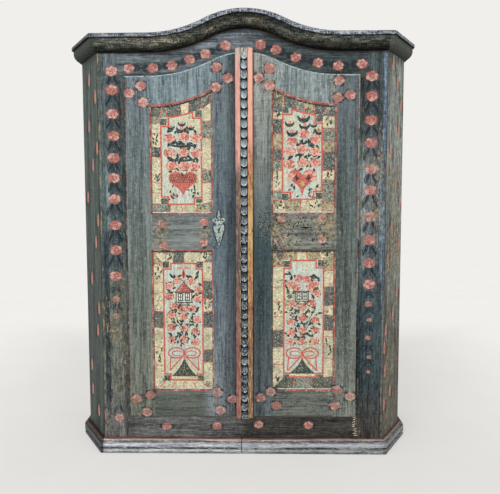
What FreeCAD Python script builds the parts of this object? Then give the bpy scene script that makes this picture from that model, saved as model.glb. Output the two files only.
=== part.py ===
"""Painted two-door cupboard with canted corners and a serpentine cornice.

Millimetres. +Z is up, the front faces -Y and +X is to the right of someone who stands before it.
The origin is the bottom centre of the whole cupboard.
"""
import FreeCAD, Part
import math
import os

V = FreeCAD.Vector

# ---------------------------------------------------------------- driving dimensions
# Case in plan
front_half_width = 606.0        # centre to the arris between front and canted corner
cant_run_x = 115.0              # canted corner, measured along the front
cant_run_y = 187.0              # canted corner, measured along the side
case_depth = 480.0              # front face of the stiles to the back
board_thick = 25.0              # stiles, frieze, sides and canted corners
# Heights
cornice_z = 1714.0              # underside of the cornice at its straight ends
ovolo_height = 52.0
cap_height = 19.0
door_bottom_z = 162.0
frieze_height = 97.0            # underside of the cornice down to the doors
# Serpentine of cornice, frieze and door tops
crest_x = 10.0                  # the crest stands a little right of centre
crest_rise = 94.0
serpentine_half = 398.0         # crest to the start of the straight end
crest_radius = 300.0            # convex arc over the crest; the concave arcs follow from it
# Cornice and plinth sections
ovolo_reach = 34.0
ovolo_foot = 4.0                # flat listel between the ovolo curve and the board
ovolo_curve = 44.0              # height of the curved part of the ovolo
cap_reach = 42.0
cap_edge = 5.0                  # bevel along the cap's upper edge
front_joint_x = -4.0            # joint between the front halves of cornice, plinth and bottom rail
plinth_height = 65.0
plinth_reach = 25.0
plinth_fascia_top = 53.0
plinth_lip = 7.0                # what is left of the plinth's reach above its bevel
plinth_torus_height = 20.0
plinth_groove = 3.0
# Doors
door_half_width = 491.0         # outer edge of each door
meeting_x = 46.5                # edge of the left door, under the astragal's right edge
meeting_gap = 2.0
lip_thick = 14.0                # part of the door that lies on the frame
rebate_thick = 14.0             # part of the door that sits in the opening
lip_overlap = 12.0
opening_clear = 2.0
door_chamfer = 6.0
left_hinge_stile_width = 111.5
right_hinge_stile_width = 102.0
left_panel_right_x = -127.8
right_panel_left_x = 130.0
upper_panel_drop = 128.0        # door top down to the upper panel's top
mid_rail_z = 722.0              # door's lower edge to the underside of its middle rail
mid_rail_height = 162.0
bottom_rail_height = 121.0
stick_chamfer = 6.0             # bevel round each panel opening
groove_depth = 10.0
panel_play = 1.0                # room for the panel in its groove
tongue_thick = 8.0
tongue_front = 9.0              # door front to the front of the groove
tongue_clear = 0.2
field_rise = 3.5                # raised field over the panel's tongue
field_border = 38.0             # width of the panel's sloping border
tenon_length = 45.0
tenon_margin = 14.0
mortise_clear = 0.2
# Astragal
astragal_width = 73.0
astragal_thick = 20.0
astragal_edge = 9.0             # thickness at its outer edges
astragal_overrun = 12.0         # its end over the doors' top at the crest
astragal_band = 30.0            # carved band along its middle
astragal_sink = 6.0             # depth of the band under the bevels' inner edges
scale_pitch = 40.0
scale_width = 26.0
scale_thin = 1.0
scale_thick = 6.5
scale_lap = 5.0
# Lock in the left door
keyhole_inset = 143.8           # from the meeting edge
keyhole_rise = 93.0             # over the underside of the middle rail
keyhole_radius = 4.5
key_slot_width = 5.0
key_slot_drop = 15.0
lock_left = 22.0                # lock case, from the keyhole to its left end
lock_setback = 26.0             # lock case, from the meeting edge to its right end
lock_saddle_gap = 4.5           # between the bolt's saddles and the lock case's right end
lock_saddle_length = 40.0
lock_half_height = 46.0
lock_thick = 10.0
lock_wall = 1.5
lock_bolt_height = 22.0
lock_bolt_thick = 5.0
lock_bolt_length = 92.0
lock_bolt_setback = 1.0         # drawn bolt, behind the door's edge
lock_travel = 15.0
slide_clear = 0.3
strike_clear = 0.8              # room for the shot bolt in the right door
lock_fit = 0.2
# Escutcheon
plate_thick = 1.8
plate_outline_right = ((1.5, 80.0), (5.5, 58.0), (7.0, 38.0), (15.0, 25.0), (22.0, 14.0), (22.0, -4.0),
                       (16.0, -18.0), (11.5, -38.0), (6.0, -55.0), (3.0, -67.0))    # from the keyhole
curl_place = (17.0, 38.0)       # scrolls beside the plate's stem
curl_radius = 10.0
curl_eye_radius = 4.0
curl_eye_shift = 2.5            # eye of the scroll, towards the stem
plate_nails = ((0.0, 52.0), (-13.0, 20.0), (13.0, 20.0), (0.0, -58.0))
nail_radius = 2.2
nail_length = 12.0
nail_head_height = 1.2
nail_clear = 0.05
# Sliding bolts on the back of the right door
bolt_inset = 39.5               # from the right door's meeting edge
bolt_width = 12.0
bolt_thick = 7.0
bolt_length = 190.0
bolt_travel = 20.0
bolt_tip_clear = 3.0            # tip of the drawn bolt, from the door's rebated edge
bolt_knob_radius = 7.0
bolt_knob_length = 10.0
guide_width = 9.0
guide_wall = 2.5
guide_foot = 9.0
guide_inset = 35.0              # guide centre from the end of the bolt
keeper_clear = 2.0              # room round the shot bolt in frieze and bottom rail
# Hinges
hinge_heights = (297.0, 887.0, 1482.0)
barrel_radius = 4.5
barrel_clear = 0.3              # barrel to the door's edge
barrel_stand = 0.7              # barrel to the face of the frame
pin_radius = 2.5
pin_clear = 0.05
knuckle_height = 38.0
knuckle_gap = 0.3
leaf_thick = 2.0
leaf_height = 34.0
frame_leaf_reach = 24.0
door_leaf_reach = 30.0
leaf_clear = 0.1
# Inside
floor_thick = 24.0
roof_thick = 17.0
roof_split = 0.5                # share of the roof's depth in its front board
back_thick = 16.0
back_rebate = 12.0
back_count = 6
back_start_z = 20.0
shelf_thick = 22.0
shelf_heights = (527.0, 912.0, 1297.0)
shelf_front_gap = 18.0          # stiles' inner face to the shelf's front edge
shelf_play = 1.0
cleat_width = 22.0
cleat_height = 32.0
side_cleat_length = 230.0
back_cleat_length = 900.0
frieze_lap = 41.0               # frieze laps over the face of the stiles
bottom_lap = 21.0               # bottom rail laps over the face of the stiles
lap_thick = 12.0
board_joint = 0.4               # open joint between neighbouring boards

# ---------------------------------------------------------------- sizes that follow
overall_depth = case_depth + cap_reach
front_y = cap_reach - overall_depth / 2
back_y = overall_depth / 2
side_x = front_half_width + cant_run_x
cant_y = front_y + cant_run_y
inner_y = front_y + board_thick
cap_z = cornice_z + ovolo_height
roof_z = cap_z - roof_thick
door_top_z = cornice_z - frieze_height
mid_rail_bottom_z = door_bottom_z + mid_rail_z
mid_rail_top_z = mid_rail_bottom_z + mid_rail_height
bottom_rail_top_z = door_bottom_z + bottom_rail_height
astragal_top_z = door_top_z + crest_rise + astragal_overrun
keyhole_x = meeting_x - keyhole_inset
keyhole_z = mid_rail_bottom_z + keyhole_rise
bolt_x = meeting_x + meeting_gap + bolt_inset
lock_end_x = meeting_x - lock_setback
keeper_depth = bolt_travel - bolt_tip_clear - opening_clear + keeper_clear
door_front_y = front_y - lip_thick
door_back_y = front_y + rebate_thick
opening_half = door_half_width - lip_overlap
opening_bottom_z = door_bottom_z + lip_overlap
floor_z = opening_bottom_z - floor_thick
back_front_y = back_y - back_thick
shelf_front_y = inner_y + shelf_front_gap
arc_sum = (serpentine_half ** 2 + crest_rise ** 2) / (2 * crest_rise)
flank_radius = arc_sum - crest_radius
arc_angle = math.asin(serpentine_half / arc_sum)
cant_turn = math.atan2(cant_run_y, cant_run_x)
tongue_y = door_front_y + tongue_front
far = 3000.0                    # longer than anything in the cupboard
eps = 0.01
cutter_slack = 2.0              # how far a cutter stands out of the wood it cuts


# ---------------------------------------------------------------- helpers
def box(x0, x1, y0, y1, z0, z1):
    """Box between two corners."""
    return Part.makeBox(x1 - x0, y1 - y0, z1 - z0, V(x0, y0, z0))


def mirror_x(shape):
    """The same piece on the other side of the cupboard."""
    return shape.mirror(V(0, 0, 0), V(1, 0, 0))


def save(name, *solids):
    """Write one sub-part; several solids become a group."""
    shape = solids[0] if len(solids) == 1 else Part.makeCompound(list(solids))
    shape.exportStep(os.path.join("parts", name + ".step"))


def prism(points, axis, start, stop):
    """Closed polygon of (first, second) coordinates, extruded along an axis between two places."""
    if axis == "z":
        corners = [V(a, b, start) for a, b in points]
        travel = V(0, 0, stop - start)
    elif axis == "y":
        corners = [V(a, start, b) for a, b in points]
        travel = V(0, stop - start, 0)
    else:
        corners = [V(start, a, b) for a, b in points]
        travel = V(stop - start, 0, 0)
    return Part.Face(Part.makePolygon(corners + corners[:1])).extrude(travel)


# ---------------------------------------------------------------- serpentine
def serpentine_height(x):
    """Rise of the serpentine over its straight ends."""
    u = abs(x - crest_x)
    turn_u = crest_radius * math.sin(arc_angle)
    if u >= serpentine_half:
        return 0.0
    if u <= turn_u:
        return crest_rise - crest_radius + math.sqrt(crest_radius ** 2 - u ** 2)
    return flank_radius - math.sqrt(flank_radius ** 2 - (serpentine_half - u) ** 2)


def serpentine_normal(x):
    """Unit normal of the serpentine, as its X and Z parts."""
    u = x - crest_x
    turn_u = crest_radius * math.sin(arc_angle)
    if abs(u) >= serpentine_half:
        return 0.0, 1.0
    if abs(u) <= turn_u:
        lean = math.asin(u / crest_radius)
    else:
        lean = math.copysign(math.asin((serpentine_half - abs(u)) / flank_radius), u)
    return math.sin(lean), math.cos(lean)


def serpentine_point(x, z, y, raise_by=0.0):
    """Point of the serpentine at plane y, moved outwards by raise_by along its normal."""
    nx, nz = serpentine_normal(x)
    return V(x + nx * raise_by, y, z + serpentine_height(x) + nz * raise_by)


def serpentine_stations(x0, x1):
    """Places between x0 and x1 where the serpentine changes from one arc or straight to the next."""
    turn_u = crest_radius * math.sin(arc_angle)
    breaks = [crest_x - serpentine_half, crest_x - turn_u, crest_x + turn_u, crest_x + serpentine_half]
    return [x0] + [b for b in breaks if x0 + eps < b < x1 - eps] + [x1]


def serpentine_edges(x0, x1, z, y, raise_by=0.0):
    """Straight lines and arcs of the serpentine from x0 to x1."""
    edges = []
    stations = serpentine_stations(x0, x1)
    for a, b in zip(stations, stations[1:]):
        middle = (a + b) / 2
        start = serpentine_point(a, z, y, raise_by)
        end = serpentine_point(b, z, y, raise_by)
        if abs(middle - crest_x) > serpentine_half:
            edges.append(Part.LineSegment(start, end).toShape())
        else:
            edges.append(Part.Arc(start, serpentine_point(middle, z, y, raise_by), end).toShape())
    return edges


def arched_slab(x0, x1, z0, z_top, y0, y1):
    """Board between two planes of Y with straight sides and a serpentine top."""
    top = serpentine_edges(x0, x1, z_top, y0)
    left = V(x0, y0, z_top + serpentine_height(x0))
    right = V(x1, y0, z_top + serpentine_height(x1))
    low_left = V(x0, y0, z0)
    low_right = V(x1, y0, z0)
    sides = [Part.LineSegment(right, low_right).toShape(), Part.LineSegment(low_right, low_left).toShape(),
             Part.LineSegment(low_left, left).toShape()]
    return Part.Face(Part.Wire(top + sides)).extrude(V(0, y1 - y0, 0))


def serpentine_sweep(section, x0, x1, z, y):
    """Section of (outwards, along the normal) points, run along the serpentine at plane y."""
    lengths = []
    stations = serpentine_stations(x0, x1)
    for a, b in zip(stations, stations[1:]):
        nx, nz = serpentine_normal(a)
        start = serpentine_point(a, z, y)
        face = Part.Face(section_wire(section, lambda out, up: start + V(0, -out, 0) + V(nx, 0, nz) * up))
        middle_u = (a + b) / 2 - crest_x
        if abs(middle_u) > serpentine_half:
            lengths.append(face.extrude(V(b - a, 0, 0)))
            continue
        over_crest = abs(middle_u) < crest_radius * math.sin(arc_angle)
        center = start - V(nx, 0, nz) * (crest_radius if over_crest else -flank_radius)
        end_nx, end_nz = serpentine_normal(b)
        turn = math.degrees(math.atan2(end_nx, end_nz) - math.atan2(nx, nz))
        lengths.append(face.revolve(center, V(0, 1, 0), turn))
    if len(lengths) == 1:
        return lengths[0]
    return lengths[0].fuse(lengths[1:]).removeSplitter()


# ---------------------------------------------------------------- mouldings
def section_wire(section, place):
    """Closed wire of a section whose points marked "via" are the middles of arcs.

    place turns a point (outwards, up) into a vector."""
    points = [place(entry[0], entry[1]) for entry in section]
    via = [len(entry) > 2 for entry in section]
    edges = []
    i = 0
    while i < len(points):
        after = (i + 1) % len(points)
        if via[after]:
            end = (i + 2) % len(points)
            edges.append(Part.Arc(points[i], points[after], points[end]).toShape())
            i += 2
        else:
            edges.append(Part.LineSegment(points[i], points[after]).toShape())
            i += 1
    return Part.Wire(edges)


def quarter(center, radius_out, radius_up, angle):
    """Point on an upright ellipse at an angle, marked as the middle of an arc."""
    return center[0] + radius_out * math.cos(angle), center[1] + radius_up * math.sin(angle), "via"


def ovolo_section():
    """Quarter-round that hangs under the cap, out from the face of the case."""
    middle = quarter((ovolo_foot, ovolo_curve), ovolo_reach - ovolo_foot, ovolo_curve, -math.pi / 4)
    return [(0.0, 0.0), (ovolo_foot, 0.0), middle, (ovolo_reach, ovolo_curve),
            (ovolo_reach, ovolo_height), (0.0, ovolo_height)]


def cap_section():
    """Thin slab on the ovolo, with a bevel along its upper edge."""
    low = ovolo_height
    high = ovolo_height + cap_height
    return [(-board_thick, low), (cap_reach, low), (cap_reach, high - cap_edge),
            (cap_reach - cap_edge, high), (-board_thick, high)]


def plinth_section():
    """Torus, groove, fascia and bevel, out from the face of the case."""
    radius = plinth_torus_height / 2
    center_out = plinth_reach - radius
    groove_top = plinth_torus_height + plinth_groove
    return [(0.0, 0.0), (center_out, 0.0), (plinth_reach, radius, "via"), (center_out, plinth_torus_height),
            (plinth_reach - plinth_groove, groove_top), (plinth_reach, groove_top),
            (plinth_reach, plinth_fascia_top), (plinth_lip, plinth_height), (0.0, plinth_height)]


def plan_corner(reach):
    """The two corners of the case's plan on its right, moved outwards by reach."""
    first = (front_half_width + reach * math.tan(cant_turn / 2), front_y - reach)
    second = (side_x + reach, cant_y - reach * math.tan((math.pi / 2 - cant_turn) / 2))
    return first, second


def corner_run(section, z):
    """Section run along the right canted corner and mitred at the arrises.

    Both ends are cut square to the front and the side, in line with the arrises."""
    path = [V(front_half_width - cap_reach, front_y, z), V(front_half_width, front_y, z),
            V(side_x, cant_y, z), V(side_x, cant_y + cap_reach, z)]
    profile = section_wire(section, lambda out, up: path[0] + V(0, -out, up))
    run = Part.makePolygon(path).makePipeShell([profile], True, False, 1)
    return run.common(box(front_half_width, far, -far, cant_y, z - far, z + far)).Solids[0]


def side_run(section, z):
    """Section run along the right side, from the arris to the back."""
    profile = section_wire(section, lambda out, up: V(side_x + out, cant_y, z + up))
    return Part.Face(profile).extrude(V(0, back_y - cant_y, 0))


def front_run(section, z, x0, x1):
    """Straight section along the front of the case."""
    profile = section_wire(section, lambda out, up: V(x0, front_y - out, z + up))
    return Part.Face(profile).extrude(V(x1 - x0, 0, 0))


def save_moulding(name, section, z, serpentine):
    """Six lengths of one moulding: two front halves, two corner blocks and two side returns."""
    for side, x0, x1 in (("left", -front_half_width, front_joint_x),
                         ("right", front_joint_x, front_half_width)):
        if serpentine:
            front = serpentine_sweep(section, x0, x1, z, front_y)
        else:
            front = front_run(section, z, x0, x1)
        save(side + "_" + name + "_front", front)
    corner = corner_run(section, z)
    flank = side_run(section, z)
    save("right_" + name + "_corner", corner)
    save("left_" + name + "_corner", mirror_x(corner))
    save("right_" + name + "_side", flank)
    save("left_" + name + "_side", mirror_x(flank))


# ---------------------------------------------------------------- hinges
def hinge_axis(side):
    """X and Y of a door's hinge axis; side is -1 on the left and 1 on the right."""
    return side * (door_half_width + barrel_radius + barrel_clear), front_y - barrel_radius - barrel_stand


def frame_leaf(side, z, clear):
    """Leaf of the frame's hinge half, let into the stile, grown by clear."""
    x, y = hinge_axis(side)
    middle = z - knuckle_height / 2
    return box(x - leaf_thick / 2 - clear, x + leaf_thick / 2 + clear, y, y + frame_leaf_reach + clear,
               middle - leaf_height / 2 - clear, middle + leaf_height / 2 + clear)


def door_leaf(side, z, clear):
    """Leaf of the door's hinge half, let into the hinge stile's edge, grown by clear."""
    x, y = hinge_axis(side)
    middle = z + knuckle_height / 2
    reach = door_leaf_reach + clear
    return box(min(x, x - side * reach), max(x, x - side * reach), y - leaf_thick / 2 - clear,
               y + leaf_thick / 2 + clear, middle - leaf_height / 2 - clear, middle + leaf_height / 2 + clear)


def frame_half(side, z):
    """Lower knuckle with its fixed pin and leaf."""
    x, y = hinge_axis(side)
    knuckle = Part.makeCylinder(barrel_radius, knuckle_height, V(x, y, z - knuckle_height))
    pin = Part.makeCylinder(pin_radius, knuckle_height + knuckle_gap, V(x, y, z))
    leaf = frame_leaf(side, z, 0.0)
    return knuckle.fuse([pin, leaf]).removeSplitter()


def door_half(side, z):
    """Upper knuckle, bored for the pin, with its leaf."""
    x, y = hinge_axis(side)
    low = V(x, y, z + knuckle_gap)
    knuckle = Part.makeCylinder(barrel_radius, knuckle_height, low)
    bore = Part.makeCylinder(pin_radius + pin_clear, knuckle_height, low)
    leaf = door_leaf(side, z, 0.0)
    return knuckle.fuse(leaf).cut(bore).removeSplitter()


# ---------------------------------------------------------------- case
def plan_board(outer, inner, z0, z1):
    """Upright board between an outer and an inner line in plan, with mitred edges."""
    return prism(list(outer) + list(reversed(inner)), "z", z0, z1)


def make_case():
    outer_arris, outer_side = plan_corner(0.0)
    inner_arris, inner_side = plan_corner(-board_thick)

    side_board = plan_board((outer_side, (side_x, back_y)), (inner_side, (side_x - board_thick, back_y)),
                            0.0, roof_z)
    rebate = box(side_x - board_thick, side_x - board_thick + back_rebate, back_front_y, back_y, 0.0, roof_z)
    side_board = side_board.cut(rebate)
    save("right_side_board", side_board)
    save("left_side_board", mirror_x(side_board))

    canted = plan_board((outer_arris, outer_side), (inner_arris, inner_side), 0.0, roof_z)
    save("right_canted_board", canted)
    save("left_canted_board", mirror_x(canted))

    stile = plan_board(((opening_half, front_y), outer_arris), ((opening_half, inner_y), inner_arris),
                       0.0, cap_z)
    frieze_recess = box(opening_half, opening_half + frieze_lap, front_y, front_y + lap_thick,
                        door_top_z - lip_overlap, cap_z)
    rail_recess = box(opening_half, opening_half + bottom_lap, front_y, front_y + lap_thick,
                      0.0, opening_bottom_z)
    stile = stile.cut([frieze_recess, rail_recess])
    for z in hinge_heights:
        stile = stile.cut(frame_leaf(1, z, leaf_clear))
    save("right_front_stile", stile)
    save("left_front_stile", mirror_x(stile))

    make_frieze()
    make_bottom_rails()
    make_floor_and_roof(outer_arris, outer_side, inner_arris, inner_side)
    make_back()
    make_shelves(inner_arris, inner_side)


def keeper(z0, z1):
    """Notch behind frieze or bottom rail that a sliding bolt shoots into."""
    reach = bolt_width / 2 + keeper_clear
    return box(bolt_x - reach, bolt_x + reach, door_back_y - keeper_clear, inner_y, z0, z1)


def make_frieze():
    lap_x = opening_half + frieze_lap
    below = door_top_z - lip_overlap
    high = cap_z + crest_rise
    body = box(-opening_half, opening_half, front_y, inner_y, below, high)
    face = box(-lap_x, lap_x, front_y, front_y + lap_thick, below, high)
    arch = arched_slab(-opening_half, opening_half, below - far, below, front_y, inner_y)
    edge_z = below + serpentine_height(bolt_x)
    cuts = [arch, over_cap_bed(), keeper(edge_z - far, edge_z + keeper_depth)]
    save("frieze_board", body.fuse(face).removeSplitter().cut(cuts))


def over_cap_bed():
    """Everything over the bed of the cap, which runs parallel to the serpentine."""
    bed = serpentine_edges(-front_half_width, front_half_width, cornice_z, front_y, ovolo_height)
    left = bed[0].Vertexes[0].Point
    right = bed[-1].Vertexes[-1].Point
    high_left = V(left.x, left.y, far)
    high_right = V(right.x, right.y, far)
    outline = bed + [Part.LineSegment(right, high_right).toShape(),
                     Part.LineSegment(high_right, high_left).toShape(),
                     Part.LineSegment(high_left, left).toShape()]
    return Part.Face(Part.Wire(outline)).extrude(V(0, board_thick, 0))


def make_bottom_rails():
    lap_x = opening_half + bottom_lap
    for side, x0, x1, face_x0, face_x1 in (("left", -opening_half, front_joint_x, -lap_x, front_joint_x),
                                           ("right", front_joint_x, opening_half, front_joint_x, lap_x)):
        body = box(x0, x1, front_y, inner_y, 0.0, opening_bottom_z)
        face = box(face_x0, face_x1, front_y, front_y + lap_thick, 0.0, opening_bottom_z)
        rail = body.fuse(face).removeSplitter()
        if x0 < bolt_x < x1:
            rail = rail.cut(keeper(opening_bottom_z - keeper_depth, far))
        save(side + "_bottom_rail", rail)


def make_floor_and_roof(outer_arris, outer_side, inner_arris, inner_side):
    corners = [(inner_arris[0], inner_y), inner_side, (side_x - board_thick, back_front_y)]
    plan = corners + [(-x, y) for x, y in reversed(corners)]
    save("floor_board", prism(plan, "z", floor_z, opening_bottom_z))

    corners = [inner_arris, outer_arris, outer_side, (side_x, back_y)]
    plan = corners + [(-x, y) for x, y in reversed(corners)]
    roof = prism(plan, "z", roof_z, cap_z)
    split_y = inner_y + (back_y - inner_y) * roof_split
    front = roof.common(box(-far, far, -far, split_y, 0, far)).Solids[0]
    rear = roof.common(box(-far, far, split_y + board_joint, far, 0, far)).Solids[0]
    save("roof_boards", front, rear)


def make_back():
    half = side_x - board_thick + back_rebate
    width = (2 * half - board_joint * (back_count - 1)) / back_count
    boards = []
    for i in range(back_count):
        x0 = -half + i * (width + board_joint)
        boards.append(box(x0, x0 + width, back_front_y, back_y, back_start_z, roof_z))
    save("back_boards", *boards)


def make_shelves(inner_arris, inner_side):
    side_inner = side_x - board_thick - shelf_play
    along = (shelf_front_y - inner_arris[1]) / (inner_side[1] - inner_arris[1])
    front_x = inner_arris[0] + (inner_side[0] - inner_arris[0]) * along - shelf_play
    corners = [(front_x, shelf_front_y), (side_inner, inner_side[1] + shelf_play), (side_inner, back_front_y)]
    plan = corners + [(-x, y) for x, y in reversed(corners)]
    side_cleats = []
    back_cleats = []
    for name, z in zip(("lower_shelf", "middle_shelf", "upper_shelf"), shelf_heights):
        save(name, prism(plan, "z", z, z + shelf_thick))
        right = box(side_x - board_thick - cleat_width, side_x - board_thick,
                    back_front_y - side_cleat_length, back_front_y, z - cleat_height, z)
        side_cleats += [right, mirror_x(right)]
        back_cleats.append(box(-back_cleat_length / 2, back_cleat_length / 2, back_front_y - cleat_width,
                               back_front_y, z - cleat_height, z))
    save("shelf_side_cleats", *side_cleats)
    save("shelf_back_cleats", *back_cleats)


# ---------------------------------------------------------------- doors
def door_blank(x0, x1, side):
    """Door outline as lip and rebated part; its hinge side is on the left for -1, on the right for 1."""
    lip = arched_slab(x0, x1, door_bottom_z, door_top_z, door_front_y, front_y)
    inset = lip_overlap + opening_clear
    inner_x0 = x0 + (inset if side < 0 else 0.0)
    inner_x1 = x1 - (inset if side > 0 else 0.0)
    inner = arched_slab(inner_x0, inner_x1, door_bottom_z + inset, door_top_z - inset, front_y, door_back_y)
    return lip.fuse(inner).removeSplitter()


def chamfer_section(size):
    """Corner cutter as (towards the viewer, out of the wood) offsets from the sharp edge."""
    return [(-size, 0.0), (-size - cutter_slack, cutter_slack), (cutter_slack, cutter_slack),
            (cutter_slack, -size - cutter_slack)]


def serpentine_chamfer(x0, x1, z, size, outward):
    """Cutter along a serpentine edge of the door's front; outward is 1 where the wood lies below it."""
    section = [(toward, outward * off) for toward, off in chamfer_section(size)]
    return serpentine_sweep(section, x0, x1, z, door_front_y)


def straight_chamfer(axis, place, start, stop, size, outward):
    """Cutter along a straight edge of the door's front.

    axis is the edge's direction, place its other coordinate and outward the side it faces."""
    if axis == "z":
        corners = [(place + outward * off, door_front_y - toward) for toward, off in chamfer_section(size)]
    else:
        corners = [(door_front_y - toward, place + outward * off) for toward, off in chamfer_section(size)]
    return prism(corners, axis, start, stop)


def door_edge_cutters(x0, x1, side):
    """Chamfers round the door's lip: hinge side, arched top and bottom."""
    outer = x0 if side < 0 else x1
    return [straight_chamfer("z", outer, 0.0, far, door_chamfer, side),
            straight_chamfer("x", door_bottom_z, x0 - door_chamfer, x1 + door_chamfer, door_chamfer, -1),
            serpentine_chamfer(x0 - door_chamfer, x1 + door_chamfer, door_top_z, door_chamfer, 1)]


def opening_cutters(x0, x1, z0, z1, arched):
    """Bevels of the frame round a panel opening."""
    reach = stick_chamfer
    cutters = [straight_chamfer("z", x0, z0 - reach, z_at(x0, z1, arched) + reach, stick_chamfer, 1),
               straight_chamfer("z", x1, z0 - reach, z_at(x1, z1, arched) + reach, stick_chamfer, -1),
               straight_chamfer("x", z0, x0 - reach, x1 + reach, stick_chamfer, 1)]
    if arched:
        cutters.append(serpentine_chamfer(x0 - reach, x1 + reach, z1, stick_chamfer, -1))
    else:
        cutters.append(straight_chamfer("x", z1, x0 - reach, x1 + reach, stick_chamfer, -1))
    return cutters


def z_at(x, z, arched):
    """Height of a panel's top at x."""
    return z + serpentine_height(x) if arched else z


def panel_outline(x0, x1, z0, z1, arched, y0, y1):
    """Slab with a panel's outline."""
    if arched:
        return arched_slab(x0, x1, z0, z1, y0, y1)
    return box(x0, x1, y0, y1, z0, z1)


def make_panel(x0, x1, z0, z1, arched):
    """Raised panel: a tongue that sits in the frame's groove, a sloping border and a flat field."""
    grow = groove_depth - panel_play
    front = tongue_y + tongue_clear
    back = tongue_y + tongue_thick - tongue_clear
    slab = panel_outline(x0 - grow, x1 + grow, z0 - grow, z1 + grow, arched, front - field_rise, back)
    slope = [(field_border, front - field_rise), (0.0, front), (-2 * groove_depth, front),
             (-2 * groove_depth, front - 2 * field_rise), (field_border, front - 2 * field_rise)]
    cutters = []
    for edge, inward in ((x0, 1), (x1, -1)):
        cutters.append(prism([(edge + inward * off, y) for off, y in slope], "z", z0 - far, z0 + far))
    cutters.append(prism([(y, z0 + off) for off, y in slope], "x", x0 - far, x1 + far))
    if arched:
        section = [(front_y - y, -off) for off, y in slope]
        cutters.append(serpentine_sweep(section, x0 - 2 * groove_depth, x1 + 2 * groove_depth, z1, front_y))
    else:
        cutters.append(prism([(y, z1 - off) for off, y in slope], "x", x0 - far, x1 + far))
    return slab.cut(cutters).Solids[0]


def groove(x0, x1, z0, z1, arched):
    """Room in the frame for a panel's tongue."""
    d = groove_depth
    return panel_outline(x0 - d, x1 + d, z0 - d, z1 + d, arched, tongue_y, tongue_y + tongue_thick)


def tenons(x0, x1, z0, z1, rise, grow):
    """Tenons at both ends of a rail between x0 and x1, grown by the mortise's clearance.

    rise is how far the serpentine lifts the rail at its two ends."""
    y0 = tongue_y - grow
    y1 = tongue_y + tongue_thick + grow
    reach = tenon_length + grow
    low = z0 + tenon_margin - grow
    high = z1 - tenon_margin + grow
    pieces = []
    for start, end, lift in ((x0 - reach, x0, rise[0]), (x1, x1 + reach, rise[1])):
        pieces.append(box(start, end, y0, y1, low + lift, high + lift))
    return pieces


def keyhole_cut(y0, y1):
    """Round eye with a slot below it, through the planes y0 to y1."""
    eye = Part.makeCylinder(keyhole_radius, y1 - y0, V(keyhole_x, y0, keyhole_z), V(0, 1, 0))
    slot = box(keyhole_x - key_slot_width / 2, keyhole_x + key_slot_width / 2, y0, y1,
               keyhole_z - key_slot_drop, keyhole_z)
    return eye.fuse(slot).removeSplitter()


def make_door(name, side):
    """Frame-and-panel door; returns its pieces by name, still to be fitted with iron."""
    if side < 0:
        x0, x1 = -door_half_width, meeting_x
        px0, px1 = x0 + left_hinge_stile_width, left_panel_right_x
    else:
        x0, x1 = meeting_x + meeting_gap, door_half_width
        px0, px1 = right_panel_left_x, x1 - right_hinge_stile_width
    upper_top = door_top_z - upper_panel_drop
    upper = (px0, px1, mid_rail_top_z, upper_top, True)
    lower = (px0, px1, bottom_rail_top_z, mid_rail_bottom_z, False)

    blank = door_blank(x0, x1, side).cut(door_edge_cutters(x0, x1, side))
    blank = blank.cut([panel_outline(*opening, door_front_y, door_back_y) for opening in (upper, lower)])
    blank = blank.cut(opening_cutters(*upper) + opening_cutters(*lower))
    blank = blank.cut([groove(*upper), groove(*lower)])

    mortises = []
    rails = {}
    arch = [serpentine_height(px0), serpentine_height(px1)]
    flat = [0.0, 0.0]
    for rail, z0, z1, rise in (("top_rail", upper_top, door_top_z, arch),
                               ("mid_rail", mid_rail_bottom_z, mid_rail_top_z, flat),
                               ("bottom_rail", door_bottom_z, bottom_rail_top_z, flat)):
        zone = box(px0, px1, door_front_y, door_back_y, z0 + min(rise) - groove_depth * (rail == "top_rail"),
                   z1 + max(rise) + (crest_rise if rail == "top_rail" else 0.0))
        body = blank.common(zone).Solids[0]
        rails[rail] = body.fuse(tenons(px0, px1, z0, z1, rise, 0.0)).removeSplitter()
        mortises += tenons(px0, px1, z0, z1, rise, mortise_clear)

    left = blank.common(box(x0, px0, door_front_y, door_back_y, 0.0, far)).Solids[0].cut(mortises)
    right = blank.common(box(px1, x1, door_front_y, door_back_y, 0.0, far)).Solids[0].cut(mortises)
    hinge_stile, lock_stile = (left, right) if side < 0 else (right, left)
    hinge_stile = hinge_stile.cut([door_leaf(side, z, leaf_clear) for z in hinge_heights])
    pieces = dict(rails)
    pieces["hinge_stile"] = hinge_stile
    pieces["lock_stile"] = lock_stile
    pieces["upper_panel"] = make_panel(*upper)
    pieces["lower_panel"] = make_panel(*lower)
    save(name + "_hinge_halves", *[door_half(side, z) for z in hinge_heights])
    return pieces


# ---------------------------------------------------------------- astragal
def scale_tongue():
    """One carved scale, thin at its head and thick at its round tip, with its head at Z 0."""
    radius = scale_width / 2
    length = scale_pitch + scale_lap
    slab = box(-radius, radius, -astragal_thick, 0, radius - length, 0)
    tip = Part.makeCylinder(radius, astragal_thick, V(0, -astragal_thick, radius - length), V(0, 1, 0))
    outline = slab.fuse(tip).removeSplitter()
    side_view = [(0.0, 0.0), (-scale_thin, 0.0), (-scale_thick, -length), (0.0, -length)]
    return outline.common(prism(side_view, "x", -radius, radius)).Solids[0]


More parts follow.
